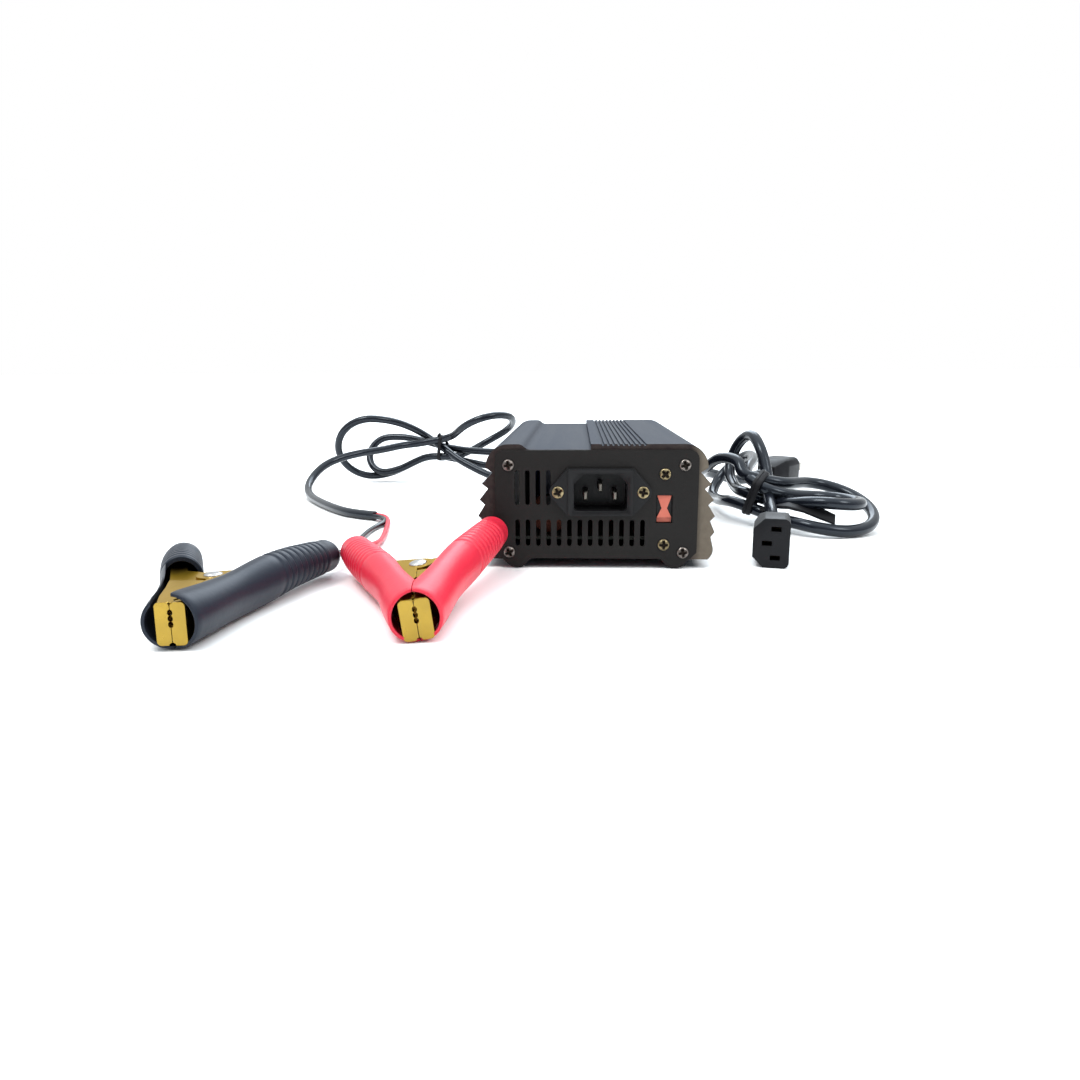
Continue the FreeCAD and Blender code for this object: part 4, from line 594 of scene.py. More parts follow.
dcLead = {
    "tie": (-124.6, 209.6, 27.6),
    "heading": (0.939, -0.29, -0.186),
    "arrive": (-0.744, 0.472, 0.474),
    "leave": (-0.96, -0.12, -0.16),
    "slots": [(0.4, -0.5, 1.8), (0.0, 4.2, -6.0), (1.5, 6.4, 1.8), (-1.5, -2.8, -5.4), (0.0, -5.0, 9.2)],
    "loops": [
        (-1, (-85.6, -19.1, 3.9), (12.5, -11.4, 25.5)),
        (1, (102.2, 3.7, -17.3), (-4.3, 20.7, -10.0)),
        (-1, (-65.3, 5.0, -6.1), (-16.1, 9.7, 13.1)),
        (1, (60.0, -13.3, 28.6), (3.2, 24.2, -9.8)),
    ],
    "perSpan": 4,
    "start": [
        (-33, 123, 24), (-33, 138, 24), (-37, 156, 18), (-52, 172, 8), (-75, 182, 5.5),
    ],
    "runsIn": (24, 6),
    "runsOut": (6, 21),
    "end": [
        (-157, 197, 32.6), (-171, 184, 30), (-186, 170, 28.8), (-203, 160, 24.8), (-213, 148, 18.6),
        (-217, 130, 8.5), (-208, 106, 3.2), (-186, 71, 3.1), (-164, 42, 3.1), (-149, 31, 3.1),
        (-138, 26, 3.1),
    ],
    "diameter": 6.0,
    "length": 1.2153,
}
dcCord = leadPiece("dcLead", dcLead)
settle(dcCord, "charger", "cord", "dc_lead_start", "dc_lead_hank", "dc_lead_end")

mainsLead = {
    "tie": (103.9, 12.3, 20.6),
    "heading": (-0.845, 0.422, 0.328),
    "arrive": (0.286, 0.852, 0.439),
    "leave": (-0.9, 0.32, 0.2),
    "slots": [(3.6, 7.2, 1.0), (-1.1, 0.6, -3.8), (-2.0, -6.1, 3.5), (-4.4, -3.2, -10.2), (2.2, 0.7, 7.0)],
    "loops": [
        (1, (-7.3, 52.9, 22.0), (9.3, -29.6, 4.2)),
        (-1, (51.2, -20.5, -3.5), (-14.2, -13.0, 1.5)),
        (1, (-9.0, 80.0, 2.4), (11.2, 10.5, 14.5)),
        (-1, (61.6, -14.8, -12.4), (-12.1, -27.1, -7.9)),
    ],
    "perSpan": 4,
    "start": [(98.39, -33.82, 12.0), (102.0, -19.26, 12.0), (104.7, 0.7, 17.3)],
    "runsIn": (),
    "runsOut": (7, 16),
    "end": [
        (91.0, 25.0, 39.0), (81.0, 40.0, 39.5), (76.5, 65.9, 28.0), (77.0, 92.0, 22.5),
        (86.0, 108.0, 21.0), (102.1, 118.8, 15.3), (112.36, 123.61, 12.6), (122.0, 135.1, 12.6),
    ],
    "diameter": 7.0,
    "length": 0.9331,
}
mainsCord = leadPiece("mainsLead", mainsLead)
settle(mainsCord, "mains_lead", "cord", "mains_lead_front", "mains_lead_hank", "mains_lead_rear")

# Clamps: frames, sleeves, springs and rivets. Along an arm, 0 is the mouth's rim
clampShape = {
    "length": 100.5,
    "halfSpread": math.radians(18.13),
    "pivot": 42.0,
    "front": 9.9,
    "rimEdge": ((0.0, 0.6), (0.12, 0.2), (0.5, 0.0)),
    "neck": 8.95,
    "neckAt": 30.0,
    "grip": 60.0,
    "gripLead": 6.0,
    "end": 7.7,
    "wall": 1.2,
    "slack": 0.02,
    "past": 3.0,
    "ridges": 9,
    "pitch": 4.0,
    "depth": 0.6,
    "grooveWidth": 0.62,
    "grooveLead": 1.0,
    "fall": 0.95,
    "half": (0.15, 140, -20, 140, -40, 40),  # box that holds what is left of a right-hand sleeve
    "wireHole": (1.75, -6.0, 4.0),  # radius, and its ends from the handle's end
    "segments": 72,
    "belly": 0.6,
    "lean": 1.1,
    "pinch": 0.17,
    "leanSpan": (6, 42, 92),
    "riseSpan": (30, 74, 150),
    "fade": 6.0,
}
clamps = {
    "red": {"rim": (-65.0, -204.1, 9.95), "turn": (8.77, 2.96, -6.97), "fixedSide": -1,
            "skin": "redVinyl", "slot": "red_vinyl", "rise": 0.6, "lip": (5.4, -1.2)},
    "black": {"rim": (-146.4, -214.5, 10.35), "turn": (6.39, -1.32, 0.0), "fixedSide": 1,
              "skin": "blueBlackVinyl", "slot": "blue_black_vinyl", "rise": 2.6, "lip": (5.0, -0.5)},
}
arms = []
for colour, clamp in clamps.items():
    yaw, pitch, roll = (math.radians(v) for v in clamp["turn"])
    clamp["frame"] = (
        Matrix.Translation(metres(clamp["rim"])) @ Matrix.Rotation(yaw, 4, "Z")
        @ Matrix.Rotation(pitch, 4, "X") @ Matrix.Rotation(roll, 4, "Y")
    )
    arms.append((colour, "fixed", clamp["fixedSide"], "charger"))
    arms.append((colour, "moving", -clamp["fixedSide"], colour + "_clamp_jaw"))
armAhead = Vector((math.sin(clampShape["halfSpread"]), math.cos(clampShape["halfSpread"]), 0))
armOutward = Vector((armAhead.y, -armAhead.x, 0))

# Single wires, from the split to the fixed handles
wires = {
    "black": {
        "points": [(-127, 10, 2.4), (-131, -8, 1.8), (-130.5, -33, 1.8), (-127.5, -56, 2.4),
                   (-123.5, -75, 5.0)],
        "side": 1, "run": 6.3, "skin": "cord", "slot": "cord", "length": 0.1634,
    },
    "red": {
        "points": [(-125.5, 9.5, 2.2), (-122.2, -9.6, 1.8), (-118.5, -31, 1.9), (-116, -51, 2.6),
                   (-116.5, -68, 4.5), (-120.5, -85, 7.6)],
        "side": -1, "run": 7.0, "skin": "redWire", "slot": "red_wire", "length": 0.1685,
    },
}
wireShape = {"diameter": 3.2, "halfSpacing": 1.75, "behindHandle": 8.0, "intoHandle": 24.0}
split = Vector(dcLead["end"][-1])
wayOut = (split - Vector(dcLead["end"][-2])).normalized()
sideways = wayOut.cross(up).normalized() * wireShape["halfSpacing"]
handleEnd = clampShape["length"] + clampShape["end"]
for colour, wire in wires.items():
    clamp = clamps[colour]
    start = split + sideways * wire["side"]
    points = [start, start + wayOut * wire["run"]] + wire["points"]
    for gap in (wireShape["behindHandle"], -wireShape["intoHandle"]):
        ahead = armAhead * (handleEnd + gap)
        points.append(clamp["frame"] @ metres((clamp["fixedSide"] * ahead.x, ahead.y, 0)) / mm)
    wire["exit"] = start * mm
    wire["piece"] = curvePiece(colour + "Wire", points, wireShape["diameter"], wire["skin"])
    settle(wire["piece"], "charger", wire["slot"], colour + "_wire")
print("stage cords")


def roundEnd(length, radius, steps):
    # Quarter circle that closes a handle
    angles = [math.pi / 2 * i / steps for i in range(steps + 1)]
    return [(length + radius * math.sin(a), radius * math.cos(a)) for a in angles]


def sleeveOutside(shape):
    profile = [(0.0, 0)] + [(along, shape["front"] - inset) for along, inset in shape["rimEdge"]]
    rimEnd = profile[-1][0]
    for i in range(1, 13):
        share = i / 12
        profile.append((
            rimEnd + (shape["neckAt"] - rimEnd) * share,
            shape["front"] + (shape["neck"] - shape["front"]) * math.sin(share * math.pi / 2),
        ))
    for i in range(1, 8):
        profile.append((
            shape["neckAt"] + (shape["grip"] - shape["gripLead"] - shape["neckAt"]) * i / 7,
            shape["neck"] + shape["belly"] * math.sin(math.pi / 2 * i / 7) ** 2,
        ))
    fullest = shape["neck"] + shape["belly"]
    profile.append((shape["grip"] - shape["gripLead"] / 2, fullest))
    steps = 12
    for i in range(shape["ridges"] * steps + 1):
        crest = fullest - (shape["fall"] + shape["belly"]) * i / (shape["ridges"] * steps)
        away = (i % steps) / steps * shape["pitch"]
        away = min(away, shape["pitch"] - away)
        groove = shape["depth"] * math.exp(-(away / shape["grooveWidth"]) ** 2)
        profile.append((shape["grip"] - shape["grooveLead"] + shape["pitch"] * i / steps, crest - groove))
    return profile + roundEnd(shape["length"], shape["end"], 12)


def sleeveInside(shape):
    mouth = shape["front"] - shape["wall"] + shape["slack"]
    throat = shape["neck"] - shape["wall"]
    inner = shape["end"] - shape["wall"]
    profile = [
        (-shape["past"], 0), (-shape["past"], mouth), (shape["rimEdge"][-1][0], mouth),
        (shape["neckAt"], throat), (shape["grip"], throat),
        (shape["grip"] + shape["ridges"] * shape["pitch"], inner),
    ]
    return profile + roundEnd(shape["length"], inner, 8)


def within(value):
    return max(0.0, min(1.0, value))


def hump(along, start, top, end):
    # 0 outside start and end, 1 at the top, smooth between them
    if along <= start or along >= end:
        return 0.0
    share = (along - start) / (top - start) if along < top else (end - along) / (end - top)
    return share * share * (3 - 2 * share)


def bow(mesh, shape, rise, wholeSection):
    # Handles lean inward behind the jaw and arch a little, as pressed arms do
    for vertex in mesh.verts:
        along = vertex.co.dot(armAhead) / mm
        away = vertex.co.dot(armOutward) / mm
        weight = 1.0 if wholeSection else within((away + shape["fade"]) / shape["fade"])
        shift = (shape["lean"] + shape["pinch"] * away) * hump(along, *shape["leanSpan"])
        vertex.co -= armOutward * (shift * weight * mm)
        vertex.co.z += rise * hump(along, *shape["riseSpan"]) * weight * mm


def sleevePiece(shape, wired, opening):
    tilt = Matrix.Rotation(-shape["halfSpread"], 4, "Z")
    piece = meshObject("sleeve", turned(sleeveOutside(shape), shape["segments"], tilt), "redVinyl")
    window = boxMesh(*opening)
    window.transform(tilt)
    steps = [
        ("DIFFERENCE", turned(sleeveInside(shape), shape["segments"], tilt)),
        ("INTERSECT", boxMesh(*shape["half"])),
        ("DIFFERENCE", window),
    ]
    if wired:
        radius, start, end = shape["wireHole"]
        steps.append(("DIFFERENCE", rod(handleEnd + start, handleEnd + end, radius, 24, tilt)))
    return carved(piece, steps)


def fitted(name, source, material, clamp, side, wholeSection):
    # Copy of a right-hand piece, bowed, mirrored where it is on the left, and set in its clamp
    mesh = meshOf(source)
    bow(mesh, clampShape, clamp["rise"], wholeSection)
    if side < 0:
        mirrored(mesh)
    mesh.transform(clamp["frame"])
    bpy.data.objects.remove(source)
    return meshObject(name, mesh, material)


# Box cut out of a sleeve where its arm shows: a window on the inner side, or one side open up to its top
windows = {"covered": (-40, -3.0, 8.0, 55.0, -7.05, 7.05), "open": (-40, 6.3, -1.0, 57.0, -2.5, 40.0)}
for colour, role, side, body in arms:
    clamp = clamps[colour]
    opening = windows["open" if (colour, role) == ("black", "moving") else "covered"]
    source = sleevePiece(clampShape, role == "fixed", opening)
    piece = fitted(colour + role.capitalize() + "Sleeve", source, clamp["skin"], clamp, side, True)
    settle(piece, body, clamp["slot"], f"{colour}_clamp_{role}_sleeve")

# Taller lip of each jaw, on a neck that joins it to the arm; rods cut it at its teeth's heights and foot
lip = {
    "height": 15.2, "radius": 1.5, "front": -1.7, "back": -0.1, "split": 0.12,
    "neckWidth": 4.75, "neckHeight": 12.9, "neckRadius": 0.6, "neckFront": -1.4, "neckBack": 1.2,
    "teeth": (4.0, 1.9, -0.2), "toothRadius": 0.95, "toothStretch": 1.15, "toothDepth": 0.8,
    "footRadius": 1.3, "footStretch": 0.8,
}


def jawPiece(node, clamp, side):
    # The solid's own shape, with the lip at the mouth
    mesh = meshOf(nodes[node])
    mesh.transform(clamp["frame"].inverted())
    if side < 0:
        mirrored(mesh)
    bmesh.ops.dissolve_limit(mesh, angle_limit=math.radians(1), verts=mesh.verts, edges=mesh.edges)
    piece = meshObject("jaw", mesh, "jaw")
    width, drop = clamp["lip"]
    neckOutline = roundOutline(lip["neckWidth"], lip["neckHeight"], lip["neckRadius"])
    neck = slab(neckOutline, lip["neckFront"], lip["neckBack"])
    plate = slab(roundOutline(width, lip["height"], lip["radius"]), lip["front"], lip["back"])
    steps = [
        ("UNION", shifted(neck, (lip["split"] + lip["neckWidth"] / 2, 0, 0))),
        ("UNION", shifted(plate, (lip["split"] + width / 2, 0, drop))),
    ]
    cuts = [(drop + z, lip["toothRadius"], lip["toothStretch"]) for z in lip["teeth"]]
    cuts.append((drop - lip["height"] / 2, lip["footRadius"], lip["footStretch"]))
    for z, radius, stretch in cuts:
        tooth = rod(-clampShape["past"], clampShape["past"] * 2, radius, 12)
        tooth.transform(Matrix.Diagonal((lip["toothDepth"], 1, stretch, 1)))
        steps.append(("DIFFERENCE", shifted(tooth, (lip["split"], 0, z))))
    return carved(piece, steps)


for colour, role, side, body in arms:
    clamp = clamps[colour]
    node = f"{colour}_clamp_{role}_jaw"
    source = jawPiece(node, clamp, side)
    piece = fitted(colour + role.capitalize() + "Jaw", source, "jaw", clamp, side, False)
    settle(piece, body, "jaw", node)

rivet = {"radius": 2.0, "head": 3.6, "height": 1.15, "half": 6.45, "segments": 40}
dome = [
    (rivet["half"] + rivet["height"] * math.sin(angle), rivet["head"] * math.cos(angle))
    for angle in (math.radians(15 * i) for i in range(7))
]
rivetProfile = [(-along, radius) for along, radius in reversed(dome)]
rivetProfile += [(-rivet["half"], rivet["radius"]), (rivet["half"], rivet["radius"])] + dome

spring = {
    "wire": 1.4, "radius": 4.2, "pitch": 2.2, "coils": 2, "leg": 70.0, "offset": 1.94,
    "perTurn": 16, "shoulder": 1.5, "legPoints": 2, "lap": 4,
}


def springPoints(shape, coil):
    # Leg, coil and leg; each leg leaves the coil at a tangent and ends inside its arm
    centre = Vector((0, shape["pivot"], 0))
    away = armAhead * coil["leg"] + armOutward * coil["offset"] - centre
    last = math.atan2(away.y, away.x) - math.acos(coil["radius"] / away.length)
    first = math.pi - last
    turn = 2 * math.pi * coil["coils"] + (last - first) % (2 * math.pi)
    count = coil["perTurn"] * (coil["coils"] + 1)
    points = []
    for i in range(count + 1):
        angle = first + turn * i / count
        height = coil["pitch"] / (2 * math.pi) * turn * (i / count - 0.5)
        points.append(centre + Vector((math.cos(angle), math.sin(angle), 0)) * coil["radius"] + up * height)
    reach = math.sqrt(away.length ** 2 - coil["radius"] ** 2)
    before = Vector((math.sin(first), -math.cos(first), 0))
    after = Vector((-math.sin(first + turn), math.cos(first + turn), 0))
    legIn = [points[0] + before * reach, points[0] + before * coil["shoulder"]]
    legOut = [points[-1] + after * coil["shoulder"], points[-1] + after * reach]
    return legIn + points + legOut


for colour, clamp in clamps.items():
    head = turned(rivetProfile, rivet["segments"], Matrix.Rotation(math.pi / 2, 4, "X"))
    shifted(head, (0, clampShape["pivot"], 0)).transform(clamp["frame"])
    clamp["rivet"] = meshObject(colour + "Rivet", head, "steel")
    settle(clamp["rivet"], "charger", "steel", colour + "_clamp_pivot")
    places = [clamp["frame"] @ (p * mm) / mm for p in springPoints(clampShape, spring)]
    if clamp["fixedSide"] > 0:
        places.reverse()
    # The last leg follows the moving arm, so it is a piece of its own that laps into the coil
    coilPlaces = places[:-spring["legPoints"]]
    legPlaces = places[-spring["legPoints"] - spring["lap"]:]
    clamp["spring"] = curvePiece(colour + "Spring", coilPlaces, spring["wire"], "spring")
    settle(clamp["spring"], "charger", "steel", colour + "_clamp_spring")
    movingLeg = curvePiece(colour + "SpringLeg", legPlaces, spring["wire"], "spring")
    settle(movingLeg, colour + "_clamp_jaw", "steel")
print("stage clamps")


# Moulded bodies: the solids with their outer edges rounded
def roundedCopy(name, node, width, shortest, sharperThan=20.0, smoothBelow=50.0):
    mesh = meshOf(nodes[node])
    bmesh.ops.remove_doubles(mesh, verts=mesh.verts, dist=1e-6)
    bmesh.ops.dissolve_limit(mesh, angle_limit=math.radians(1), verts=mesh.verts, edges=mesh.edges)
    edges = [
        edge for edge in mesh.edges
        if edge.is_convex and edge.calc_face_angle(0) > math.radians(sharperThan)
        and edge.calc_length() > shortest * mm
    ]
    bmesh.ops.bevel(
        mesh, geom=edges, offset=width * mm, offset_type="OFFSET", segments=3, profile=0.5,
        affect="EDGES", clamp_overlap=True,
    )
    piece = meshObject(name, mesh, "connector", smoothBelow)
    return settle(piece, "mains_lead", "black_plastic", node)


moulded = {
    "connectorBody": {"node": "mains_connector", "width": 1.7, "shortest": 7.0},
    "plugBody": {"node": "mains_plug", "width": 3.0, "shortest": 9.0},
}
for name, item in moulded.items():
    item["piece"] = roundedCopy(name, item["node"], item["width"], item["shortest"])
print("stage moulded")

# Screws: one head with a cross, set on points by a node tree
screwShape = {
    "radius": 2.75, "height": 1.5, "crown": (0.4, 0.35), "shank": 1.5, "segments": 48, "rings": 16,
    "cross": 0.95, "reach": 1.85, "depth": 0.95, "crossEdge": (1.35, 0.5), "crossShade": 1.7,
    "hollowEdge": (0.8, 0.4), "hollowShade": 0.72,
}


def screwHead(shape, height, cone, shank):
    # Domed head with a cross sunk in it; its depth is kept to paint shade in the cross and a dark
    # reflection over the centre
    profile = [(0, shape["radius"] * i / shape["rings"]) for i in range(shape["rings"] + 1)]
    profile += [(0, shape["radius"]), (cone, shape["shank"]), (shank, shape["shank"]), (shank, 0)]
    mesh = turned(profile, shape["segments"])
    sunkShadeLayer = mesh.verts.layers.float.new("sunk")
    domed = 1 + shape["rings"] * shape["segments"]
    for vertex in list(mesh.verts)[:domed]:
        x, z = vertex.co.x / mm, vertex.co.z / mm
        share = math.hypot(x, z) / shape["radius"]
        dome = height * (1 - shape["crown"][0] * share ** 2 - shape["crown"][1] * share ** 8)
        inArm = min(
            max(abs(x) / (shape["cross"] / 2), abs(z) / shape["reach"]),
            max(abs(z) / (shape["cross"] / 2), abs(x) / shape["reach"]),
        )
        inCross = within((shape["crossEdge"][0] - inArm) / shape["crossEdge"][1])
        inHollow = within((shape["hollowEdge"][0] - share) / shape["hollowEdge"][1])
        vertex.co.y = -(dome - shape["depth"] * inCross) * mm
        # Painted shade in the cross and painted dark reflection over the head's centre
        vertex[sunkShadeLayer] = max(min(1.0, shape["crossShade"] * inCross), shape["hollowShade"] * inHollow)
    return mesh


def scatterTree():
    tree = bpy.data.node_groups.new("setOnPoints", "GeometryNodeTree")
    wanted = (
        ("Geometry", "INPUT", "Geometry"), ("Piece", "INPUT", "Object"), ("Material", "INPUT", "Material"),
        ("Facing", "INPUT", "Float"), ("Seed", "INPUT", "Int"), ("Geometry", "OUTPUT", "Geometry"),
    )
    for name, way, kind in wanted:
        tree.interface.new_socket(name=name, in_out=way, socket_type="NodeSocket" + kind)
    add = tree.nodes.new
    link = tree.links.new
    source = add("NodeGroupInput").outputs
    sink = add("NodeGroupOutput").inputs
    piece = add("GeometryNodeObjectInfo")
    link(source["Piece"], piece.inputs["Object"])
    turn = add("FunctionNodeRandomValue")
    turn.data_type = "FLOAT"
    turn.inputs[3].default_value = 1.5708  # a quarter turn at most
    link(source["Seed"], turn.inputs["Seed"])
    angles = add("ShaderNodeCombineXYZ")
    link(turn.outputs[1], angles.inputs["Y"])
    link(source["Facing"], angles.inputs["Z"])
    spread = add("GeometryNodeInstanceOnPoints")
    link(source["Geometry"], spread.inputs["Points"])
    link(piece.outputs["Geometry"], spread.inputs["Instance"])
    link(angles.outputs[0], spread.inputs["Rotation"])
    real = add("GeometryNodeRealizeInstances")
    link(spread.outputs["Instances"], real.inputs["Geometry"])
    paint = add("GeometryNodeSetMaterial")
    link(real.outputs["Geometry"], paint.inputs["Geometry"])
    link(source["Material"], paint.inputs["Material"])
    link(paint.outputs["Geometry"], sink["Geometry"])
    return tree


setOnPoints = scatterTree()


def repeated(name, places, source, material, facing, seed):
    data = bpy.data.meshes.new(name)
    data.from_pydata([metres(place) for place in places], [], [])
    made = placed(name, data)
    change = made.modifiers.new("set", "NODES")
    change.node_group = setOnPoints
    values = {"Piece": source, "Material": materials[material], "Facing": facing, "Seed": seed}
    for item in setOnPoints.interface.items_tree:
        if item.in_out == "INPUT" and item.name in values:
            change[item.identifier] = values[item.name]
    return applied(made)


plateFace = 96.5
inletFace = 98.7
plateCorners = [(x, z) for x in (-41.4, 41.4) for z in (49.8, 8.0)]
fanCorners = [(x, z) for x in (-16, 16) for z in (15, 47)]
inletScrewsAt = [(-18.0, 37.2), (22.0, 37.2)]
selectorScrewsAt = [(32.2, 45.6), (32.2, 11.8)]
screwSets = [
    {"name": "frontPlateScrews", "node": "front_plate_screws", "length": 11.0, "y": -plateFace,
     "places": plateCorners, "seed": 3},
    {"name": "selectorScrews", "node": "selector_screws", "length": 6.0, "y": -plateFace,
     "places": selectorScrewsAt, "seed": 5, "skin": "goldScrew"},
    {"name": "inletScrews", "node": "inlet_screws", "length": 7.0, "y": -inletFace,
     "places": inletScrewsAt, "seed": 4, "skin": "goldScrew", "height": 0.75, "cone": 1.2},
    {"name": "rearPlateScrews", "node": "rear_plate_screws", "length": 11.0, "y": plateFace,
     "places": plateCorners, "seed": 7},
    {"name": "fanScrews", "node": "fan_screws", "length": 9.0, "y": plateFace,
     "places": fanCorners, "seed": 9},
]
for item in screwSets:
    height = item.get("height", screwShape["height"])
    skin = item.get("skin", "screw")
    head = screwHead(screwShape, height, item.get("cone", 0.0), item["length"])
    source = meshObject("screwSource", head, skin)
    facing = math.pi if item["y"] > 0 else 0.0
    places = [(x, item["y"], z) for x, z in item["places"]]
    piece = repeated(item["name"], places, source, skin, facing, item["seed"])
    settle(piece, "charger", "screw", item["node"])
    bpy.data.objects.remove(source)
print("stage screws")

# Raised rim round the inlet's mouth, whose two upper corners are cut off
inletRim = {
    "centre": (2.0, 0, 37.2), "width": 30.8, "height": 22.2, "radius": 1.4, "front": -99.6, "back": -98.75,
    "mouth": (24.9, 17.3), "chamfer": 4.5, "past": 1.0,
}
rimOutline = roundOutline(inletRim["width"], inletRim["height"], inletRim["radius"])
rimMesh = slab(rimOutline, inletRim["front"], inletRim["back"])
rimPiece = meshObject("inletRim", shifted(rimMesh, inletRim["centre"]), "blackPlastic")
halfX, halfZ = (side / 2 for side in inletRim["mouth"])
cutX, cutZ = halfX - inletRim["chamfer"], halfZ - inletRim["chamfer"]
mouthOutline = [
    (-halfX, -halfZ), (halfX, -halfZ), (halfX, cutZ), (cutX, halfZ), (-cutX, halfZ), (-halfX, cutZ),
]
mouthMesh = slab(mouthOutline, inletRim["front"] - inletRim["past"], inletRim["back"] + inletRim["past"])
carved(rimPiece, [("DIFFERENCE", shifted(mouthMesh, inletRim["centre"]))])
settle(rimPiece, "charger", "black_plastic")


# Strain reliefs and the gland, ringed and smooth
def reliefProfile(shape, near=0.4, far=0.3, steps=60):
    # A taper with ring grooves; near and far are the chamfers at its ends
    length, start, end = shape["length"], shape["start"], shape["end"]
    profile = [(0, 0), (0, start - near), (near, start)]
    between = length / (shape["grooves"] + 1)
    for i in range(2, steps):
        along = length * i / steps
        nearest = min(abs(along - between * (k + 1)) for k in range(shape["grooves"]))
        groove = shape["depth"] * math.exp(-(2 * nearest / shape["width"]) ** 4)
        profile.append((along, start + (end - start) * i / steps - groove))
    return profile + [(length - far, end), (length, end - far), (length, 0)]


relief = {"length": 26.0, "start": 6.0, "end": 4.6, "grooves": 4, "width": 1.6, "depth": 0.8}
mainsEnds = {
    "connectorRelief": {"face": (83.5, -94.0, 12.0), "heading": 13.9, "from": 36.0,
                        "node": "mains_connector_relief"},
    "plugRelief": {"face": (158.0, 178.0, 12.6), "heading": -140.0, "from": 30.0,
                   "node": "mains_plug_relief"},
}
for name, item in mainsEnds.items():
    turn = (
        Matrix.Translation(metres(item["face"]))
        @ Matrix.Rotation(-math.radians(item["heading"]), 4, "Z")
        @ Matrix.Translation(metres((0, item["from"], 0)))
    )
    item["piece"] = meshObject(name, turned(reliefProfile(relief), 48, turn), "cord")
    settle(item["piece"], "mains_lead", "cord", item["node"])

gland = {
    "place": (-33.0, plateFace, 24.0), "neck": 5.1, "inside": 7.0, "flange": 7.0, "thick": 2.5,
    "near": 0.3, "far": 0.6,
    "tail": {"length": 24.0, "start": 5.4, "end": 3.8, "grooves": 4, "width": 1.4, "depth": 0.5},
}
glandProfile = [
    (-gland["inside"], 0), (-gland["inside"], gland["neck"]), (0, gland["neck"]),
    (0, gland["flange"] - gland["near"]), (gland["near"], gland["flange"]),
    (gland["thick"] - gland["far"], gland["flange"]), (gland["thick"], gland["flange"] - gland["far"]),
]
glandProfile += [(gland["thick"] + along, radius) for along, radius in reliefProfile(gland["tail"])[1:]]
glandPiece = meshObject("cableGland", shifted(turned(glandProfile, 48), gland["place"]), "blackPlastic")
settle(glandPiece, "charger", "black_plastic", "cable_gland")
print("stage reliefs")


# Ties: bands drawn tight round the strands
def tieBand(name, lead, band):
    # The section of (along, out) is in millimetres, out from the strands' outer side
    heading = Vector(lead["heading"]).normalized()
    across = heading.cross(up).normalized()
    rise = across.cross(heading).normalized()
    centres = [(Vector(slot).dot(across), Vector(slot).dot(rise)) for slot in lead["slots"]]
    mesh = bmesh.new()
    rings = []
    for k in range(band["steps"]):
        angle = 2 * math.pi * k / band["steps"]
        way = (math.cos(angle), math.sin(angle))
        centre = max(centres, key=lambda c: c[0] * way[0] + c[1] * way[1])
        ring = []
        for along, out in band["section"]:
            reach = lead["diameter"] / 2 + out
            place = Vector(lead["tie"]) + heading * (along + band["shift"])
            place += across * (centre[0] + way[0] * reach) + rise * (centre[1] + way[1] * reach)
            ring.append(mesh.verts.new(place * mm))
        rings.append(ring)
    bridge(mesh, rings + rings[:1])
    return meshObject(name, mesh, "tie")


def strapPiece(name, strap):
    # Flat end of a tie that turns from one way across to another, its tip narrowed
    mesh = bmesh.new()
    rings = []
    points = [metres(p) for p in strap["path"]]
    last = len(points) - 1
    for i, point in enumerate(points):
        side = Vector(strap["across"][0]).lerp(Vector(strap["across"][1]), i / last).normalized()
        ahead = (points[min(i + 1, last)] - points[max(i - 1, 0)]).normalized()
        rise = side.cross(ahead).normalized()
        half = strap["width"] / 2 * (strap["tip"] if i == last else 1.0)
        rings.append([
            mesh.verts.new(point + side * (a * half * mm) + rise * (b * strap["thickness"] / 2 * mm))
            for a, b in strap["section"]
        ])
    bridge(mesh, rings)
    mesh.faces.new(rings[0])
    mesh.faces.new(rings[-1])
    return meshObject(name, mesh, "tie")


mainsBand = {"steps": 96, "shift": 4.0, "section": [
    (-2.6, 0.15), (-2.3, 1.2), (-0.8, 1.6), (0.4, 1.4), (0.7, 1.9), (2.3, 1.6), (2.6, 0.15),
]}
mainsStrap = {
    "path": [(101, 3, 11.5), (107, -3, 14.6), (114, -8, 16.0), (122, -12, 15.2), (130, -15.5, 12.6),
             (137.5, -18.5, 9.6)],
    "across": ((0.5, 0.82, -0.3), (0.15, 0.5, 0.85)),
    "width": 7.5, "thickness": 1.9, "tip": 0.8,
    "section": [
        (-1, -0.6), (-0.92, -1), (0.92, -1), (1, -0.6), (1, 0.6), (0.92, 1), (-0.92, 1), (-1, 0.6),
    ],
}
mainsTie = tieBand("mainsTie", mainsLead, mainsBand)
settle(mainsTie, "mains_lead", "tie", "mains_lead_tie")
mainsTail = strapPiece("mainsTieEnd", mainsStrap)
settle(mainsTail, "mains_lead", "tie")

dcBand = {"steps": 96, "shift": 0.0, "section": [
    (-1.6, 0.1), (-1.3, 0.8), (0.0, 1.0), (1.3, 0.8), (1.6, 0.1),
]}
dcTie = tieBand("dcTie", dcLead, dcBand)
settle(dcTie, "charger", "tie", "dc_lead_tie")

twist = {
    "foot": (-125.6, 203.8, 36.2), "tip": (-126.4, 204.0, 41.4), "radius": 0.8, "turns": 1.5, "count": 24,
    "wire": 2.2,
}


def twistPoints(shape):
    # Helix of the tie's twisted end
    foot = Vector(shape["foot"])
    axis = Vector(shape["tip"]) - foot
    side = axis.cross(Vector((0, 1, 0))).normalized()
    other = axis.normalized().cross(side)
    points = []
    for i in range(shape["count"] + 1):
        share = i / shape["count"]
        angle = 2 * math.pi * shape["turns"] * share
        around = side * math.cos(angle) + other * math.sin(angle)
        points.append(foot + axis * share + around * shape["radius"])
    return points


twistPiece = curvePiece("dcTieTwist", twistPoints(twist), twist["wire"], "tie")
settle(twistPiece, "charger", "tie")
print("stage ties")

for colour, wire in wires.items():
    clamp = clamps[colour]

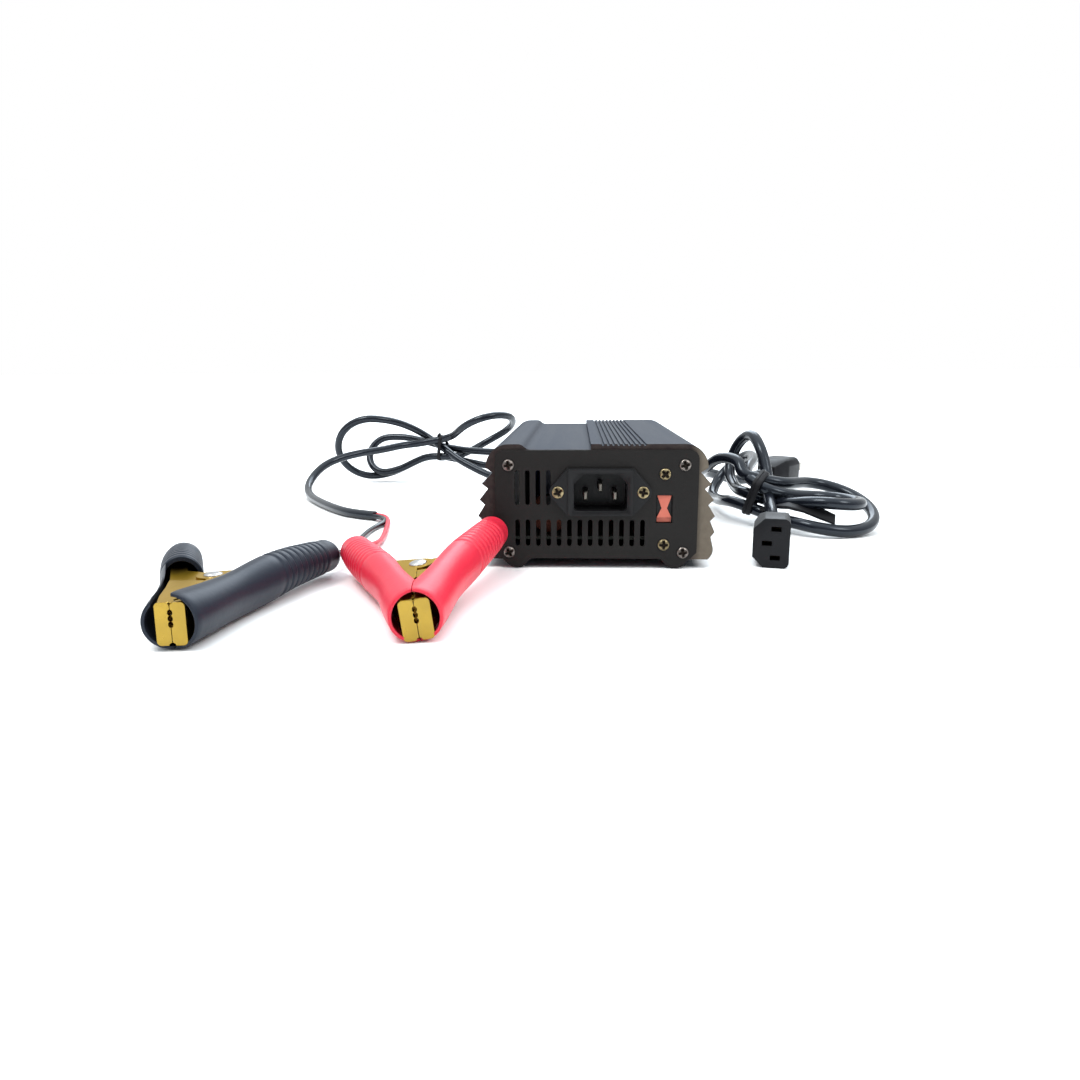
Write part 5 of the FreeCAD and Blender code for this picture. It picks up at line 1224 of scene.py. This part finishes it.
# Floor, light and background, in metres
studio = {
    "floor": [(-60, -20), (60, -20), (60, 120), (-60, 120)], "floorColour": (0.93, 0.93, 0.93),
    "floorRough": 0.7, "sky": (0.9, 0.96, 1.0), "skyLean": 1.2, "whiteInGloss": 0.3,
    "horizon": {"From Min": -0.5, "From Max": 0.45, "To Min": 0.2, "To Max": 1.12},
    "overhead": {"From Min": 0.4, "From Max": 0.95, "To Min": 0.0, "To Max": 1.3},
    "aim": (0, 0, 0.03),
}
floorMaterial = bpy.data.materials.new("floor")
floorMaterial.use_nodes = True
setInputs(floorMaterial.node_tree.nodes["Principled BSDF"], {
    "Base Color": (*studio["floorColour"], 1), "Roughness": studio["floorRough"],
})
floorMesh = bmesh.new()
floorMesh.faces.new([floorMesh.verts.new((x, y, 0)) for x, y in studio["floor"]])
floorData = bpy.data.meshes.new("floor")
floorMesh.to_mesh(floorData)
floorMesh.free()
floorData.materials.append(floorMaterial)
placed("floor", floorData)

world = bpy.data.worlds.new("world")
bpy.context.scene.world = world
world.use_nodes = True
sky = world.node_tree
background = sky.nodes["Background"]
background.inputs["Color"].default_value = (*studio["sky"], 1)
way = coordinates(sky, "Generated")


def skySpan(source, values):
    # Light that grows smoothly with the source
    span = sky.nodes.new("ShaderNodeMapRange")
    span.interpolation_type = "SMOOTHSTEP"
    setInputs(span, values)
    sky.links.new(source, span.inputs["Value"])
    return span.outputs["Result"]


lean = mathNode(sky, "MULTIPLY_ADD", way["Z"], studio["skyLean"], way["Y"])
behind = skySpan(lean, studio["horizon"])
above = skySpan(way["Z"], studio["overhead"])
sky.links.new(mathNode(sky, "ADD", behind, above), background.inputs["Strength"])
# White to the camera and through glass, and partly so to reflections
rays = sky.nodes.new("ShaderNodeLightPath").outputs
partly = mathNode(sky, "MULTIPLY_ADD", rays["Is Glossy Ray"], studio["whiteInGloss"], rays["Is Camera Ray"])
seen = mathNode(sky, "ADD", partly, rays["Is Transmission Ray"])
seen.node.use_clamp = True
white = sky.nodes.new("ShaderNodeBackground")
white.inputs["Color"].default_value = (1, 1, 1, 1)
choice = sky.nodes.new("ShaderNodeMixShader")
sky.links.new(seen, choice.inputs["Fac"])
sky.links.new(background.outputs[0], choice.inputs[1])
sky.links.new(white.outputs[0], choice.inputs[2])
sky.links.new(choice.outputs[0], sky.nodes["World Output"].inputs["Surface"])

lamps = [
    {"name": "back", "place": (0.1, 1.1, 1.0), "size": 1.0, "power": 14.0, "colour": (0.82, 0.91, 1.0)},
    {"name": "key", "place": (-0.5, -0.35, 1.1), "size": 0.4, "power": 7.0, "colour": (1.0, 0.98, 0.95)},
    {"name": "fill", "place": (0.7, -0.6, 0.8), "size": 0.4, "power": 4.0, "colour": (1.0, 0.98, 0.95)},
]
for item in lamps:
    data = bpy.data.lights.new(item["name"], "AREA")
    data.size = item["size"]
    data.energy = item["power"]
    data.color = item["colour"]
    lamp = placed(item["name"], data)
    lamp.location = item["place"]
    lamp.rotation_euler = (Vector(studio["aim"]) - lamp.location).to_track_quat("-Z", "Y").to_euler()
bpy.context.scene.view_settings.view_transform = "Standard"
print("stage lights")
